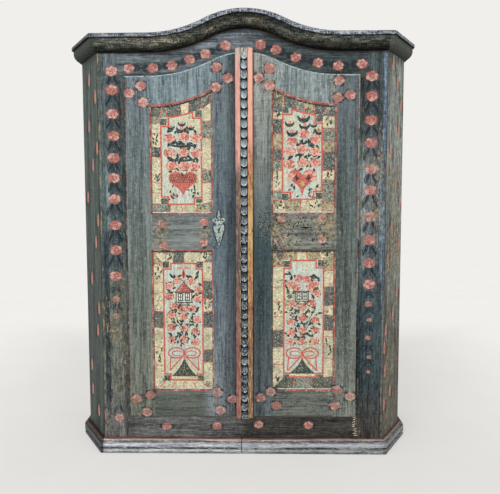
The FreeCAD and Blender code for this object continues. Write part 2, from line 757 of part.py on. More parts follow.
def make_astragal():
    half = astragal_width / 2
    x = meeting_x - half
    band = astragal_band / 2
    outline = [(-half, 0.0), (half, 0.0), (half, -astragal_edge), (band, -astragal_thick),
               (band, astragal_sink - astragal_thick), (-band, astragal_sink - astragal_thick),
               (-band, -astragal_thick), (-half, -astragal_edge)]
    strip = prism([(x + a, door_front_y + b) for a, b in outline], "z", door_bottom_z, astragal_top_z)
    floor_y = door_front_y + astragal_sink - astragal_thick
    count = int((astragal_top_z - door_bottom_z) // scale_pitch)
    margin = (astragal_top_z - door_bottom_z - count * scale_pitch) / 2
    tongue = scale_tongue()
    room = box(x - band, x + band, -far, far, door_bottom_z, astragal_top_z)
    scales = []
    for i in range(count):
        piece = tongue.copy()
        piece.translate(V(x, floor_y, astragal_top_z - margin - i * scale_pitch))
        scales.append(piece.common(room).Solids[0])
    save("astragal", strip.fuse(scales).removeSplitter())


# ---------------------------------------------------------------- lock
def lock_box(grow):
    """Room of the lock case in the back of the lock stile, grown by grow on all but its open side."""
    return box(keyhole_x - lock_left - grow, lock_end_x + grow, door_back_y - lock_thick - grow, door_back_y,
               keyhole_z - lock_half_height - grow, keyhole_z + lock_half_height + grow)


def bolt_channel(x0, x1, grow):
    """Path of the lock bolt between x0 and x1, grown by grow across."""
    middle_y = door_back_y - lock_thick / 2
    return box(x0, x1, middle_y - lock_bolt_thick / 2 - grow, middle_y + lock_bolt_thick / 2 + grow,
               keyhole_z - lock_bolt_height / 2 - grow, keyhole_z + lock_bolt_height / 2 + grow)


def make_lock(pieces):
    """Lock case let into the back of the lock stile, with a bolt that leaves by the stile's edge."""
    case = lock_box(0.0)
    room = box(keyhole_x - lock_left + lock_wall, lock_end_x - lock_wall,
               door_back_y - lock_thick + lock_wall, door_back_y - lock_wall,
               keyhole_z - lock_half_height + lock_wall, keyhole_z + lock_half_height - lock_wall)
    tip_x = meeting_x - lock_bolt_setback
    tail_x = tip_x - lock_bolt_length
    mouth = bolt_channel(tail_x, meeting_x, slide_clear)
    front_wall_y = door_back_y - lock_thick
    case = case.cut([room, mouth, keyhole_cut(front_wall_y, front_wall_y + lock_wall)])
    saddles = []
    saddle_x = lock_end_x - lock_saddle_gap
    for sign in (-1, 1):
        edge = keyhole_z + sign * (lock_bolt_height / 2 + slide_clear)
        wall = keyhole_z + sign * (lock_half_height - lock_wall)
        saddles.append(box(saddle_x - lock_saddle_length, saddle_x, door_back_y - lock_thick + lock_wall,
                           door_back_y - lock_wall, min(edge, wall), max(edge, wall)))
    save("lock_case", case.fuse(saddles).removeSplitter())
    save("lock_bolt", bolt_channel(tail_x, tip_x, 0.0))
    pieces["lock_stile"] = pieces["lock_stile"].cut([lock_box(lock_fit), mouth])


# ---------------------------------------------------------------- escutcheon
def disc(x, z, radius):
    """Disc of the escutcheon's iron, placed from the keyhole."""
    place = V(keyhole_x + x, door_front_y - plate_thick, keyhole_z + z)
    return Part.makeCylinder(radius, plate_thick, place, V(0, 1, 0))


def plate_blank():
    """Ornamental iron plate: a pointed stem between two scrolls, a broad body and a tapering tail."""
    left = [(-a, b) for a, b in reversed(plate_outline_right)]
    corners = [(keyhole_x + a, keyhole_z + b) for a, b in list(plate_outline_right) + left]
    body = prism(corners, "y", door_front_y - plate_thick, door_front_y)
    curls = []
    eyes = []
    for sign in (-1, 1):
        curls.append(disc(sign * curl_place[0], curl_place[1], curl_radius))
        eyes.append(disc(sign * (curl_place[0] - curl_eye_shift), curl_place[1], curl_eye_radius))
    return body.fuse(curls).cut(eyes).removeSplitter()


def nail(x, z, grow):
    """Nail through the escutcheon into the stile, grown by grow round its shank."""
    top = door_front_y - plate_thick
    shank = Part.makeCylinder(nail_radius / 2 + grow, nail_length, V(x, top, z), V(0, 1, 0))
    if grow > 0:
        return shank
    head = Part.makeCylinder(nail_radius, nail_head_height, V(x, top - nail_head_height, z), V(0, 1, 0))
    return shank.fuse(head).removeSplitter()


def make_escutcheon(pieces):
    places = [(keyhole_x + a, keyhole_z + b) for a, b in plate_nails]
    holes = [nail(x, z, nail_clear) for x, z in places]
    plate = plate_blank().cut(holes + [keyhole_cut(door_front_y - plate_thick, door_front_y)])
    save("escutcheon", plate.Solids[0])
    save("escutcheon_nails", *[nail(x, z, 0.0) for x, z in places])
    through = keyhole_cut(door_front_y, door_back_y - lock_thick)
    pieces["lock_stile"] = pieces["lock_stile"].cut(holes + [through])
    pieces["mid_rail"] = pieces["mid_rail"].cut(holes + [through])


# ---------------------------------------------------------------- sliding bolts of the right door
def bolt_ends():
    """Lowest Z of the upper bolt and highest Z of the lower bolt, and their tips when drawn."""
    inset = lip_overlap + opening_clear
    upper_tip = door_top_z - inset + serpentine_height(bolt_x) - bolt_tip_clear
    lower_tip = door_bottom_z + inset + bolt_tip_clear
    return upper_tip, lower_tip


def slide_bolt(tip_z, direction):
    """Flat bolt on the door's back with a knob near its middle; direction is 1 where it shoots up."""
    y0 = door_back_y + slide_clear
    tail_z = tip_z - direction * bolt_length
    bar = box(bolt_x - bolt_width / 2, bolt_x + bolt_width / 2, y0, y0 + bolt_thick, min(tip_z, tail_z),
              max(tip_z, tail_z))
    knob_z = (tip_z + tail_z) / 2
    knob = Part.makeCylinder(bolt_knob_radius, bolt_knob_length, V(bolt_x, y0 + bolt_thick, knob_z),
                             V(0, 1, 0))
    return bar.fuse(knob).removeSplitter()


def guide(z):
    """Staple over a sliding bolt, with a foot on each side of it."""
    inner = bolt_width / 2 + slide_clear
    height = slide_clear + bolt_thick + slide_clear
    wall = inner + guide_wall
    foot = wall + guide_foot
    points = [(-foot, 0), (-inner, 0), (-inner, height), (inner, height), (inner, 0), (foot, 0),
              (foot, guide_wall), (wall, guide_wall), (wall, height + guide_wall),
              (-wall, height + guide_wall), (-wall, guide_wall), (-foot, guide_wall)]
    return prism([(bolt_x + a, door_back_y + b) for a, b in points], "z", z - guide_width / 2,
                 z + guide_width / 2)


def make_sliding_bolts():
    upper_tip, lower_tip = bolt_ends()
    save("upper_bolt", slide_bolt(upper_tip, 1))
    save("lower_bolt", slide_bolt(lower_tip, -1))
    guides = []
    for tip, direction in ((upper_tip, 1), (lower_tip, -1)):
        guides.append(guide(tip - direction * guide_inset))
        guides.append(guide(tip - direction * (bolt_length - guide_inset)))
    save("bolt_guides", *guides)


# ---------------------------------------------------------------- whole cupboard
def main():
    os.makedirs("parts", exist_ok=True)
    make_case()
    save_moulding("plinth", plinth_section(), 0.0, False)
    save_moulding("ovolo", ovolo_section(), cornice_z, True)
    save_moulding("cap", cap_section(), cornice_z, True)
    save("frame_hinge_halves", *[frame_half(side, z) for side in (-1, 1) for z in hinge_heights])

    left = make_door("left_door", -1)
    make_lock(left)
    make_escutcheon(left)
    make_astragal()
    right = make_door("right_door", 1)
    strike = bolt_channel(meeting_x, meeting_x - lock_bolt_setback + lock_travel + strike_clear, strike_clear)
    right["lock_stile"] = right["lock_stile"].cut(strike)
    make_sliding_bolts()
    for name, pieces in (("left_door", left), ("right_door", right)):
        for piece, shape in pieces.items():
            save(name + "_" + piece, shape)


main()
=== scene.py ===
"""Looks of the painted two-door cupboard: worn blue-grey timber with roses, leaves and painted panels.

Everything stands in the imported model's own frame, in metres. The painting is laid on in thin closed
coats, which are drawn in millimetres on the face that carries them.
"""

import math
import random
from collections import namedtuple
from functools import cached_property

import bmesh
import bpy
from mathutils import Matrix, Vector


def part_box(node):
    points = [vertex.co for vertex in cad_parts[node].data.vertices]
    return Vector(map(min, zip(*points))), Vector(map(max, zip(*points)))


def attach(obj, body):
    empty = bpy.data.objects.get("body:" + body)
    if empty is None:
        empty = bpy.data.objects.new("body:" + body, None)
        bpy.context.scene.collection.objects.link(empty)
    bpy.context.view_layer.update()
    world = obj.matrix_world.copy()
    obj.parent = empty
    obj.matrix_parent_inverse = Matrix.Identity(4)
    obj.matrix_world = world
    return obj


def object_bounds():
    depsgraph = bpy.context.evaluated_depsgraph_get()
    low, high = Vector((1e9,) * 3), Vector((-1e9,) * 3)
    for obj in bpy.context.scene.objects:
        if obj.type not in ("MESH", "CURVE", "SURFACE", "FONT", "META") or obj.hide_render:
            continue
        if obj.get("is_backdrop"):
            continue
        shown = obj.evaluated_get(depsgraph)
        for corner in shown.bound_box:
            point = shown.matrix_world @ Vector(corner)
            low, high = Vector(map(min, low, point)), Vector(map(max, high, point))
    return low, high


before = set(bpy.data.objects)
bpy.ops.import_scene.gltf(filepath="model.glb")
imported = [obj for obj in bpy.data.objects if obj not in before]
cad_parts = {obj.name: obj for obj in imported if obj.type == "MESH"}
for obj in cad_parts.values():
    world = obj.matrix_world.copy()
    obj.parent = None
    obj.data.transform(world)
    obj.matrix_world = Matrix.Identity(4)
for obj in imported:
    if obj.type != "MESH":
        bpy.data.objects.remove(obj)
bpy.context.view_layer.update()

MM = 0.001

# ---- places read from the frame
case_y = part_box("left_front_stile")[0].y
door_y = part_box("left_door_hinge_stile")[0].y
arris_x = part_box("right_front_stile")[1].x
side_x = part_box("right_side_board")[1].x
cant_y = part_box("right_side_board")[0].y
cornice_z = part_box("right_ovolo_side")[0].z
door_low_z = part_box("left_door_bottom_rail")[0].z
door_high_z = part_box("left_door_hinge_stile")[1].z
astragal_low, astragal_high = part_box("astragal")

# Heights of the ornament are counted in millimetres from a line this far under the doors
base_drop = 155.0
base = door_low_z / MM - base_drop

# Serpentine of cornice, frieze, doors and panels, in millimetres
crest_x = 10.0
crest_rise = 94.0
serpentine_half = 398.0
crest_radius = 300.0
arc_sum = (serpentine_half ** 2 + crest_rise ** 2) / (2 * crest_rise)
flank_radius = arc_sum - crest_radius
turn_u = crest_radius * serpentine_half / arc_sum

# Panels
tongue = 9.0                 # part of a panel that is hidden in its groove
panel_edge_depth = 9.2       # door's face to the panel's face, at the edge of the opening
panel_rise = 3.5
panel_border = 38.0
arch_drop = 128.0            # doors' straight top down to the arched panels' straight top


def serpentine(x):
    """Rise of the serpentine over its straight ends, in millimetres."""
    u = abs(x - crest_x)
    if u >= serpentine_half:
        return 0.0
    if u <= turn_u:
        return crest_rise - crest_radius + math.sqrt(crest_radius ** 2 - u ** 2)
    return flank_radius - math.sqrt(flank_radius ** 2 - (serpentine_half - u) ** 2)


def serpentine_lean(x):
    """Cosine of the serpentine's slope."""
    step = 1.0
    slope = (serpentine(x + step) - serpentine(x - step)) / (2 * step)
    return 1.0 / math.sqrt(1.0 + slope ** 2)


# ---- colours
def srgb(red, green, blue):
    """Linear colour from 8-bit sRGB values."""
    linear = []
    for value in (red, green, blue):
        share = value / 255.0
        linear.append(share / 12.92 if share <= 0.04045 else ((share + 0.055) / 1.055) ** 2.4)
    return (*linear, 1.0)


def scaled(colour, factor):
    return tuple(min(1.0, part * factor) for part in colour[:3]) + (1.0,)


primer = srgb(178, 162, 132)
bare_light = srgb(176, 140, 98)
bare_dark = srgb(116, 86, 58)
ink = srgb(24, 25, 26)

PAINTS = {
    "rose": srgb(204, 118, 104),
    "rose_light": srgb(230, 170, 152),
    "rose_dark": srgb(134, 62, 58),
    "dull": srgb(184, 118, 110),
    "dull_light": srgb(212, 162, 152),
    "dull_dark": srgb(150, 86, 82),
    "dull_haze": srgb(164, 98, 80),
    "leaf": srgb(36, 45, 52),
    "leaf_haze": srgb(52, 62, 70),
    "leaf_light": srgb(112, 126, 134),
    "red": srgb(206, 88, 78),
    "heart": srgb(198, 94, 84),
    "maroon": srgb(112, 48, 50),
    "dull_red": srgb(78, 36, 34),
    "mint": srgb(208, 217, 203),
    "cream": srgb(218, 209, 174),
    "grey": srgb(128, 136, 124),
    "slate": srgb(86, 94, 92),
    "slab": srgb(92, 94, 84),
    "speckle": srgb(178, 162, 122),
    "black": srgb(38, 40, 40),
    "white": srgb(228, 229, 220),
    "mound": srgb(50, 64, 60),
    "gold": srgb(196, 168, 104),
    # painted shadow round the lock's plate
    "plate_shadow": srgb(44, 50, 50),
}
# Share of the ground that a full coat hides, where it isn't nearly all of it
COVER = {"dull_haze": 0.42, "leaf_haze": 0.5, "plate_shadow": 0.85, "dull_dark": 0.85}


def add_object(name, data):
    made = bpy.data.objects.new(name, data)
    bpy.context.scene.collection.objects.link(made)
    return made


# ---- node trees
Vector3 = namedtuple("Vector3", "x y z")


class Value:
    """An output of a node that takes part in sums; each sum makes a node of its tree."""

    def __init__(self, tree, socket):
        self.tree = tree
        self.socket = socket

    def __add__(self, other):
        return self.tree.math("ADD", self, other)

    def __radd__(self, other):
        return self.tree.math("ADD", other, self)

    def __sub__(self, other):
        return self.tree.math("SUBTRACT", self, other)

    def __rsub__(self, other):
        return self.tree.math("SUBTRACT", other, self)

    def __mul__(self, other):
        return self.tree.math("MULTIPLY", self, other)

    def __rmul__(self, other):
        return self.tree.math("MULTIPLY", other, self)

    def __truediv__(self, other):
        return self.tree.math("DIVIDE", self, other)

    def __abs__(self):
        return self.tree.math("ABSOLUTE", self)


class Tree:
    """Short calls for the nodes of one material or node group."""

    def __init__(self, owner, tree):
        self.owner = owner
        self.tree = tree

    @cached_property
    def where(self):
        """The place in the cupboard's frame, in metres."""
        return self.made("ShaderNodeTexCoord", "Object")

    @cached_property
    def place(self):
        return self.split(self.where)

    @cached_property
    def normal(self):
        return self.made("ShaderNodeTexCoord", "Normal")

    @cached_property
    def on_right(self):
        """1 on the cupboard's right half and 0 on its left, with a soft middle."""
        return self.ramp(self.place.x, -0.1, 0.1)

    def node(self, kind, **settings):
        made = self.tree.nodes.new(kind)
        for key, value in settings.items():
            setattr(made, key, value)
        return made

    def made(self, kind, output, *inputs, **settings):
        """One output of a new node, with its inputs given as (name or number, value)."""
        node = self.node(kind, **settings)
        for name, value in inputs:
            self.put(node.inputs[name], value)
        return Value(self, node.outputs[output])

    def put(self, socket, value):
        """Set a socket, or link another node's output to it."""
        if isinstance(value, Value):
            value = value.socket
        if isinstance(value, bpy.types.NodeSocket):
            self.tree.links.new(value, socket)
        else:
            socket.default_value = value

    def math(self, operation, a, b=0.0):
        return self.made("ShaderNodeMath", 0, (0, a), (1, b), operation=operation)

    def larger(self, a, b):
        return self.math("MAXIMUM", a, b)

    def vector(self, operation, a, b, output="Vector"):
        return self.made("ShaderNodeVectorMath", output, (0, a), (1, b), operation=operation)

    def times(self, a, b):
        return self.vector("MULTIPLY", a, b)

    def dot(self, a, b):
        return self.vector("DOT_PRODUCT", a, b, "Value")

    def scale(self, vector, factor):
        return self.made("ShaderNodeVectorMath", "Vector", (0, vector), ("Scale", factor), operation="SCALE")

    def split(self, vector):
        """The parts of a vector, as a vector of values."""
        node = self.node("ShaderNodeSeparateXYZ")
        self.put(node.inputs[0], vector)
        return Vector3(*(Value(self, output) for output in node.outputs))

    def noise(self, scale, detail=3.0, roughness=0.55, shift=0.0, distortion=0.0):
        """Noise from 0 to 1. scale is a number or one number per axis, in cycles per metre."""
        factors = (scale, scale, scale) if isinstance(scale, (int, float)) else scale
        moved = self.times(self.where, factors)
        if shift:
            moved = self.vector("ADD", moved, (shift, shift * 1.7, shift * 0.6))
        return self.made("ShaderNodeTexNoise", "Fac", ("Vector", moved), ("Scale", 1.0), ("Detail", detail),
                         ("Roughness", roughness), ("Distortion", distortion))

    def ramp(self, value, low, high, start=0.0, end=1.0):
        """value's way from low to high, eased, as start to end."""
        return self.made("ShaderNodeMapRange", "Result", ("Value", value),
                         ("From Min", low), ("From Max", high), ("To Min", start),
                         ("To Max", end), interpolation_type="SMOOTHSTEP")

    def window(self, value, low, high, soft):
        """1 where value lies between low and high, with soft ends."""
        return self.ramp(value, low - soft, low + soft) * self.ramp(value, high + soft, high - soft)

    def mix(self, factor, a, b):
        """Colour between a and b. Its sockets go by number, as several share a name."""
        return self.made("ShaderNodeMix", 2, (0, factor), (6, a), (7, b), data_type="RGBA", clamp_factor=True)

    def layers(self, colour, *rows):
        """colour under others, each as (share, colour) or as (value, low, high, strength, colour).

        The second kind's share is a ramp of its value, from 0 at low to strength at high."""
        for *share, top in rows:
            if len(share) > 1:
                value, low, high, strength = share
                share = [self.ramp(value, low, high, 0.0, strength)]
            colour = self.mix(share[0], colour, top)
        return colour

    def tones(self, value, low, high, dark, light):
        """Colour from dark at low to light at high."""
        return self.mix(self.ramp(value, low, high), dark, light)

    def stops(self, value, *stops):
        """Colour ramp through stops, each a place with a colour or with its red, green and blue."""
        made = self.node("ShaderNodeValToRGB")
        self.put(made.inputs[0], value)
        points = made.color_ramp.elements
        while len(points) < len(stops):
            points.new(0.5)
        for point, (place, *colour) in zip(points, stops):
            point.position = place
            point.color = srgb(*colour) if len(colour) == 3 else colour[0]
        return Value(self, made.outputs["Color"])

    def fall(self, value, *stops):
        """Ramp of greys through (place, level) stops."""
        return self.stops(value, *((place, (level, level, level, 1.0)) for place, level in stops))

    def give(self, **values):
        """Finish a group with its outputs; Colour is a colour and any other a number."""
        for name in values:
            kind = "NodeSocketColor" if name == "Colour" else "NodeSocketFloat"
            self.owner.interface.new_socket(name, in_out="OUTPUT", socket_type=kind)
        output = self.node("NodeGroupOutput")
        for name, value in values.items():
            self.put(output.inputs[name], value)
        return self.owner

    def group(self, group):
        """Outputs of a group by their names."""
        node = self.node("ShaderNodeGroup", node_tree=group)
        return {output.name: Value(self, output) for output in node.outputs}

    def surface(self, colour, roughness, height, depth, metallic=0.0, specular=0.1):
        """Finish a material with a shader and a bump from height, which counts in depth metres."""
        bump = self.made("ShaderNodeBump", "Normal", ("Distance", depth), ("Height", height))
        return self.show(self.made("ShaderNodeBsdfPrincipled", 0, ("Base Color", colour),
                                   ("Roughness", roughness), ("Metallic", metallic),
                                   ("Specular IOR Level", specular), ("Normal", bump)))

    def show(self, shader):
        self.put(self.node("ShaderNodeOutputMaterial").inputs["Surface"], shader)
        return self.owner


def new_material(name):
    material = bpy.data.materials.new(name)
    material.use_nodes = True
    material.node_tree.nodes.clear()
    return Tree(material, material.node_tree)


def along(grain, across_scale, along_scale):
    """Noise scales of streaks that run along the grain, which is x, y or z."""
    scales = [across_scale] * 3
    scales["xyz".index(grain)] = along_scale
    return tuple(scales)


def new_group(name):
    group = bpy.data.node_groups.new(name, "ShaderNodeTree")
    return Tree(group, group)


# ---- ground coats
def ground_group(name, grain, seed, wear, tint, spots=(), deep=0.40, bright=1.72, mottled=0.12):
    """Blue-grey paint brushed along the grain and worn through to the primer in streaks.

    tint gives the colour by place. spots are (x, z, radius, strength) places that are worn more.
    deep and bright are how dark and how light its streaks get, and mottled how strongly its tone varies."""
    t = new_group(name)
    cross = "x" if grain == "z" else "z"
    broad = t.noise(along(grain, 34.0, 1.6), shift=seed)
    streak = t.noise(along(grain, 150.0, 6.0), 4.0, 0.65, shift=seed + 3.0)
    hair = t.noise(along(grain, 420.0, 18.0), 2.0, shift=seed + 5.0)
    weave = t.noise(along(cross, 330.0, 26.0), 2.0, shift=seed + 7.0)
    cloud = t.noise(5.0, shift=seed + 9.0)
    dapple = t.noise(75.0, 5.0, 0.72, shift=seed + 11.0)

    body = tint(t, t.place, cloud)
    tone = broad * 0.28
    for part, weight in ((streak, 0.30), (hair, 0.16), (weave, 0.10), (dapple, 0.16)):
        tone = tone + part * weight
    dark = t.times(body, (deep, deep * 1.02, deep * 1.06))
    light = t.times(body, (bright, bright * 0.99, bright * 0.965))
    colour = t.tones(tone, 0.40, 0.60, dark, light)
    colour = t.mix(t.ramp(cloud, 0.38, 0.62, 0.32, 0.0), colour, t.times(colour, (0.62, 0.64, 0.68)))
    colour = t.layers(colour, (dapple, 0.6, 0.7, 0.6, t.times(body, (0.3, 0.31, 0.33))))
    fleck = t.noise(along(grain, 260.0, 60.0), 3.0, 0.7, shift=seed + 15.0)
    colour = t.layers(colour, (fleck, 0.59, 0.66, 0.7, t.times(body, (2.3, 2.25, 2.1))))
    mottle = t.noise(along(grain, 125.0, 34.0), 4.0, 0.75, shift=seed + 17.0)
    colour = t.scale(colour, t.ramp(mottle, 0.38, 0.62, 1.0 - mottled, 1.0 + mottled * 1.15))

    chips = (170.0, 26.0) if grain == "z" else (240.0, 110.0)
    scratch = t.noise(along(grain, *chips), 5.0, 0.75, shift=seed + 21.0)
    patch = t.noise(along(grain, 10.0, 2.6), shift=seed + 31.0)
    level = scratch + (patch - 0.5) * 0.55 + wear
    for x, z, radius, strength in spots:
        offset = t.vector("SUBTRACT", t.where, (x, case_y, z))
        distance = t.dot(t.times(offset, (1.0, 0.0, 0.45)), offset)
        level = level + t.ramp(distance, radius ** 2, 0.0, 0.0, strength)
    worn = t.ramp(level, 0.64, 0.70)
    thin = t.tones(dapple, 0.42, 0.58, scaled(primer, 0.22), primer)
    colour = t.mix(worn * 0.8, colour, thin)
    return t.give(Colour=colour, Worn=worn, Height=tone + dapple * 0.3 - worn * 0.45)


def panel_group(name, seed, soil):
    """Pale mint ground of the panels, yellowed and chipped here and there, and darkened at the very edge of
    its border as painted shade. soil is how dirty it is.
    """
    t = new_group(name)
    brush = t.noise(along("z", 120.0, 16.0), shift=seed)
    cloud = t.noise(9.0, shift=seed + 4.0)
    dapple = t.noise(105.0, 4.0, 0.7, shift=seed + 8.0)
    speck = t.noise(300.0, 3.0, 0.7, shift=seed + 12.0)
    colour = t.tones(cloud, 0.44, 0.62, PAINTS["mint"], srgb(220, 212, 180))
    colour = t.layers(colour, (brush, 0.42, 0.62, 0.6, srgb(170, 180, 166)),
                      (speck, 0.55, 0.64, 0.65, srgb(104, 108, 98)))
    colour = t.scale(colour, t.ramp(t.noise(130.0, 4.0, 0.7, shift=seed + 15.0), 0.4, 0.6, 0.84, 1.14))
    worn = t.ramp(dapple + (cloud - 0.5) * 0.5 + soil, 0.62, 0.72)
    colour = t.mix(worn * 0.7, colour, srgb(98, 92, 72))
    # Painted shade: a dark edge where the panel goes in under its frame
    foot = door_y + panel_edge_depth * MM
    edge = t.ramp(t.place.y, foot - 0.0005, foot - 0.0002)
    colour = t.mix(edge * 0.8, colour, srgb(46, 44, 38))
    return t.give(Colour=colour, Worn=worn, Height=brush - worn * 0.6)


def bare_group(name, grain):
    """Old bare softwood."""
    t = new_group(name)
    ring = t.noise(along(grain, 55.0, 1.8), 2.0, distortion=0.6)
    fibre = t.noise(along(grain, 420.0, 9.0))
    cloud = t.noise(3.0)
    colour = t.tones(ring, 0.38, 0.62, bare_dark, bare_light)
    colour = t.layers(colour, (fibre, 0.4, 0.7, 0.45, scaled(bare_dark, 0.7)),
                      (cloud, 0.4, 0.7, 0.35, srgb(120, 108, 92)))
    return t.give(Colour=colour, Height=ring + fibre * 0.5)


bare = {grain: bare_group("bare_wood_" + grain, grain) for grain in "xyz"}


def node_serpentine(t, x):
    """The serpentine's rise at x, in metres, worked out in nodes."""
    u = abs(x - crest_x * MM)
    inner = (crest_radius * MM) ** 2 - u * u
    crest = t.math("SQRT", t.larger(inner, 0.0)) + (crest_rise - crest_radius) * MM
    rest = t.larger(serpentine_half * MM - u, 0.0)
    outer = (flank_radius * MM) ** 2 - rest * rest
    flank = flank_radius * MM - t.math("SQRT", outer)
    near = t.math("LESS_THAN", u, turn_u * MM)
    return crest * near + flank * (1.0 - near)


def case_tint(t, place, cloud):
    """Ground of the frame: each half has its own tones from foot to frieze, and bands beside the arrises; the
    frieze darkens under the cornice as a painted shadow.
    """
    x, z = place.x, place.z
    left = t.stops(z, (0.14, 97, 98, 98), (0.30, 99, 104, 97),
                   (0.60, 92, 96, 88), (0.95, 70, 83, 84), (1.0, 72, 85, 86))
    left = t.layers(left, (z, 1.1, 1.45, 1.0, srgb(69, 77, 78)), (z, 1.6, 1.66, 1.0, srgb(82, 91, 95)))
    right = t.stops(z, (0.13, 62, 61, 58), (0.3, 50, 60, 63), (0.7, 62, 74, 78), (1.0, 110, 120, 122))
    right = t.layers(right, (z, 1.15, 1.5, 1.0, srgb(57, 64, 65)), (z, 1.58, 1.66, 1.0, srgb(63, 72, 73)))
    body = t.tones(x, -0.22, 0.22, left, right)
    body = t.mix(t.ramp(z, 1.68, 1.74) * t.ramp(x, 0.12, 0.0), body, srgb(101, 110, 117))
    foot = t.ramp(z, 0.164, 0.158) * t.ramp(x, -0.03, 0.03)
    body = t.mix(foot, body, srgb(62, 61, 58))
    wobble = (cloud - 0.5) * 0.012
    inner = arris_x - abs(x) + wobble
    on_left = 1.0 - t.on_right
    pale = t.tones(z, 0.4, 0.9, srgb(112, 108, 98), srgb(108, 126, 146))
    reach = t.ramp(z, 0.45, 0.8, 0.010, 0.017)
    beside = t.ramp(inner - reach, 0.002, -0.002) * t.on_right
    body = t.mix(beside * 0.85, body, pale)
    low = t.window(z, 0.20, 0.98, 0.06)
    deep = t.window(inner, 0.014, 0.036, 0.004) * low * on_left
    body = t.mix(deep * 0.85, body, srgb(46, 54, 62))
    light = t.window(inner, 0.03, 0.048, 0.006) * t.window(z, 0.98, 1.22, 0.05)
    body = t.mix(light * on_left * 0.6, body, srgb(122, 134, 136))
    edge = t.window(abs(x) + wobble, 0.47, 0.516, 0.006) * on_left * t.ramp(z, 0.75, 0.55)
    body = t.mix(edge * 0.7, body, srgb(62, 66, 64))
    # Painted shadow of the cornice: darkest right under the ovolo, fading over a reach that changes across
    # the front
    under = node_serpentine(t, x) + cornice_z - z
    reach = t.ramp(x, -0.42, -0.2, 0.005, 0.024) + t.ramp(x, 0.2, 0.42, 0.0, -0.01)
    return t.scale(body, t.fall(under / reach, (0.0, 0.22), (0.35, 0.42), (0.7, 0.78), (1.0, 1.0)))


tint_height = 1.8                  # height that the colours' shares are counted in
stile_shares = (0.12, 0.5, 0.85)   # low, halfway and high on a door's stile


def door_tint(outer, inner, top, middle, bottom, near_light, near_dark):
    """Ground of a door. outer and inner are its stiles' colours low, halfway and high; then come its rails'.

    near_light and near_dark scale the inner stile at its panels and beside the astragal."""
    def tint(t, place, cloud):
        x = abs(place.x) + (cloud - 0.5) * 0.1
        z = place.z
        far, near = [t.stops(z / tint_height, *zip(stile_shares, colours)) for colours in (outer, inner)]
        slope = t.ramp(abs(place.x), 0.025, 0.115, near_dark, near_light)
        near = t.scale(near, slope)
        body = t.tones(x, 0.12, 0.40, near, far)
        between = t.window(x, 0.15, 0.385, 0.03)
        for colour, low, high in ((bottom, 0.0, 0.31), (middle, 0.86, 1.05), (top, 1.46, 1.9)):
            body = t.mix(between * t.window(z, low, high, 0.035), body, colour)
        return body
    return tint


def plain_tint(low, high):
    """Ground that turns from one colour low on the cupboard to another high on it, and darkens just under the
    cornice as painted shade.
    """
    def tint(t, place, cloud):
        share = place.z + (cloud - 0.5) * 1.2
        body = t.tones(share, 0.3, 1.1, low, high)
        # Painted shade under the cornice
        return t.scale(body, t.ramp(place.z, cornice_z - 0.05, cornice_z - 0.005, 1.0, 0.55))
    return tint


left_door_tint = door_tint((srgb(110, 113, 103), srgb(106, 116, 112), srgb(102, 114, 119)),
                           (srgb(102, 109, 113), srgb(72, 84, 92), srgb(90, 101, 105)),
                           srgb(120, 136, 141), srgb(120, 128, 126), srgb(92, 97, 91), 1.5, 0.62)
right_door_tint = door_tint((srgb(122, 126, 118), srgb(92, 101, 98), srgb(87, 97, 101)),
                            (srgb(80, 88, 91), srgb(54, 68, 72), srgb(126, 131, 127)),
                            srgb(131, 142, 143), srgb(122, 124, 116), srgb(95, 100, 95), 1.12, 1.0)
case_spots = ((-0.545, 0.64, 0.13, 0.15), (-0.53, 0.36, 0.15, 0.15), (-0.59, 1.2, 0.10, 0.08),
              (0.53, 1.14, 0.15, 0.16), (0.545, 0.95, 0.12, 0.14), (-0.40, 0.115, 0.12, 0.12),
              (-0.585, 0.13, 0.08, 0.20), (0.54, 1.42, 0.12, 0.10), (0.50, 0.13, 0.05, 0.20))
left_spots = ((-0.10, 0.25, 0.10, 0.14), (-0.36, 1.02, 0.09, 0.18), (-0.16, 1.01, 0.08, 0.16),
              (-0.32, 0.90, 0.09, 0.15), (-0.15, 0.92, 0.07, 0.15))
right_spots = ((0.10, 1.03, 0.10, 0.16), (0.12, 1.25, 0.10, 0.08), (0.40, 1.56, 0.10, 0.18),
               (0.36, 1.02, 0.10, 0.15), (0.15, 0.92, 0.08, 0.13), (0.37, 0.90, 0.09, 0.12))
ground = {}
for name, grain, seed, wear, tint, spots, *tones in (
        ("case_z", "z", 1.0, -0.06, case_tint, case_spots, 0.30, 1.9, 0.34),
        ("case_x", "x", 3.0, -0.07, case_tint, case_spots, 0.34, 1.85, 0.28),
        ("left_cant", "z", 5.0, -0.05, plain_tint(srgb(50, 59, 56), srgb(54, 64, 61)), (), 0.12, 2.9, 0.2),
        ("right_cant", "z", 6.0, 0.03, plain_tint(srgb(84, 82, 72), srgb(112, 119, 114)),
         ((0.64, 0.85, 0.16, 0.14), (0.66, 1.15, 0.12, 0.10), (0.63, 0.40, 0.10, 0.10)), 0.15, 2.6, 0.5),
        ("left_door_z", "z", 7.0, -0.12, left_door_tint, left_spots),
        ("left_door_x", "x", 10.0, -0.08, left_door_tint, left_spots, 0.5, 1.6),
        ("right_door_z", "z", 12.0, -0.10, right_door_tint, right_spots),
        ("right_door_x", "x", 15.0, -0.04, right_door_tint, right_spots, 0.28, 1.9)):
    ground[name] = ground_group(name + "_ground", grain, seed, wear, tint, spots, *tones)
for name, seed, soil in (("left_upper_panel", 20.0, -0.02), ("left_lower_panel", 30.0, -0.03),
                         ("right_upper_panel", 40.0, 0.0), ("right_lower_panel", 50.0, 0.02)):
    ground[name] = panel_group(name + "_ground", seed, soil)


# ---- materials of the boards
def facing(t, direction, low=0.35, high=0.65):
    """1 where the object's own normal points in a direction."""
    lean = t.dot(t.normal, direction)
    return t.ramp(lean, low, high)


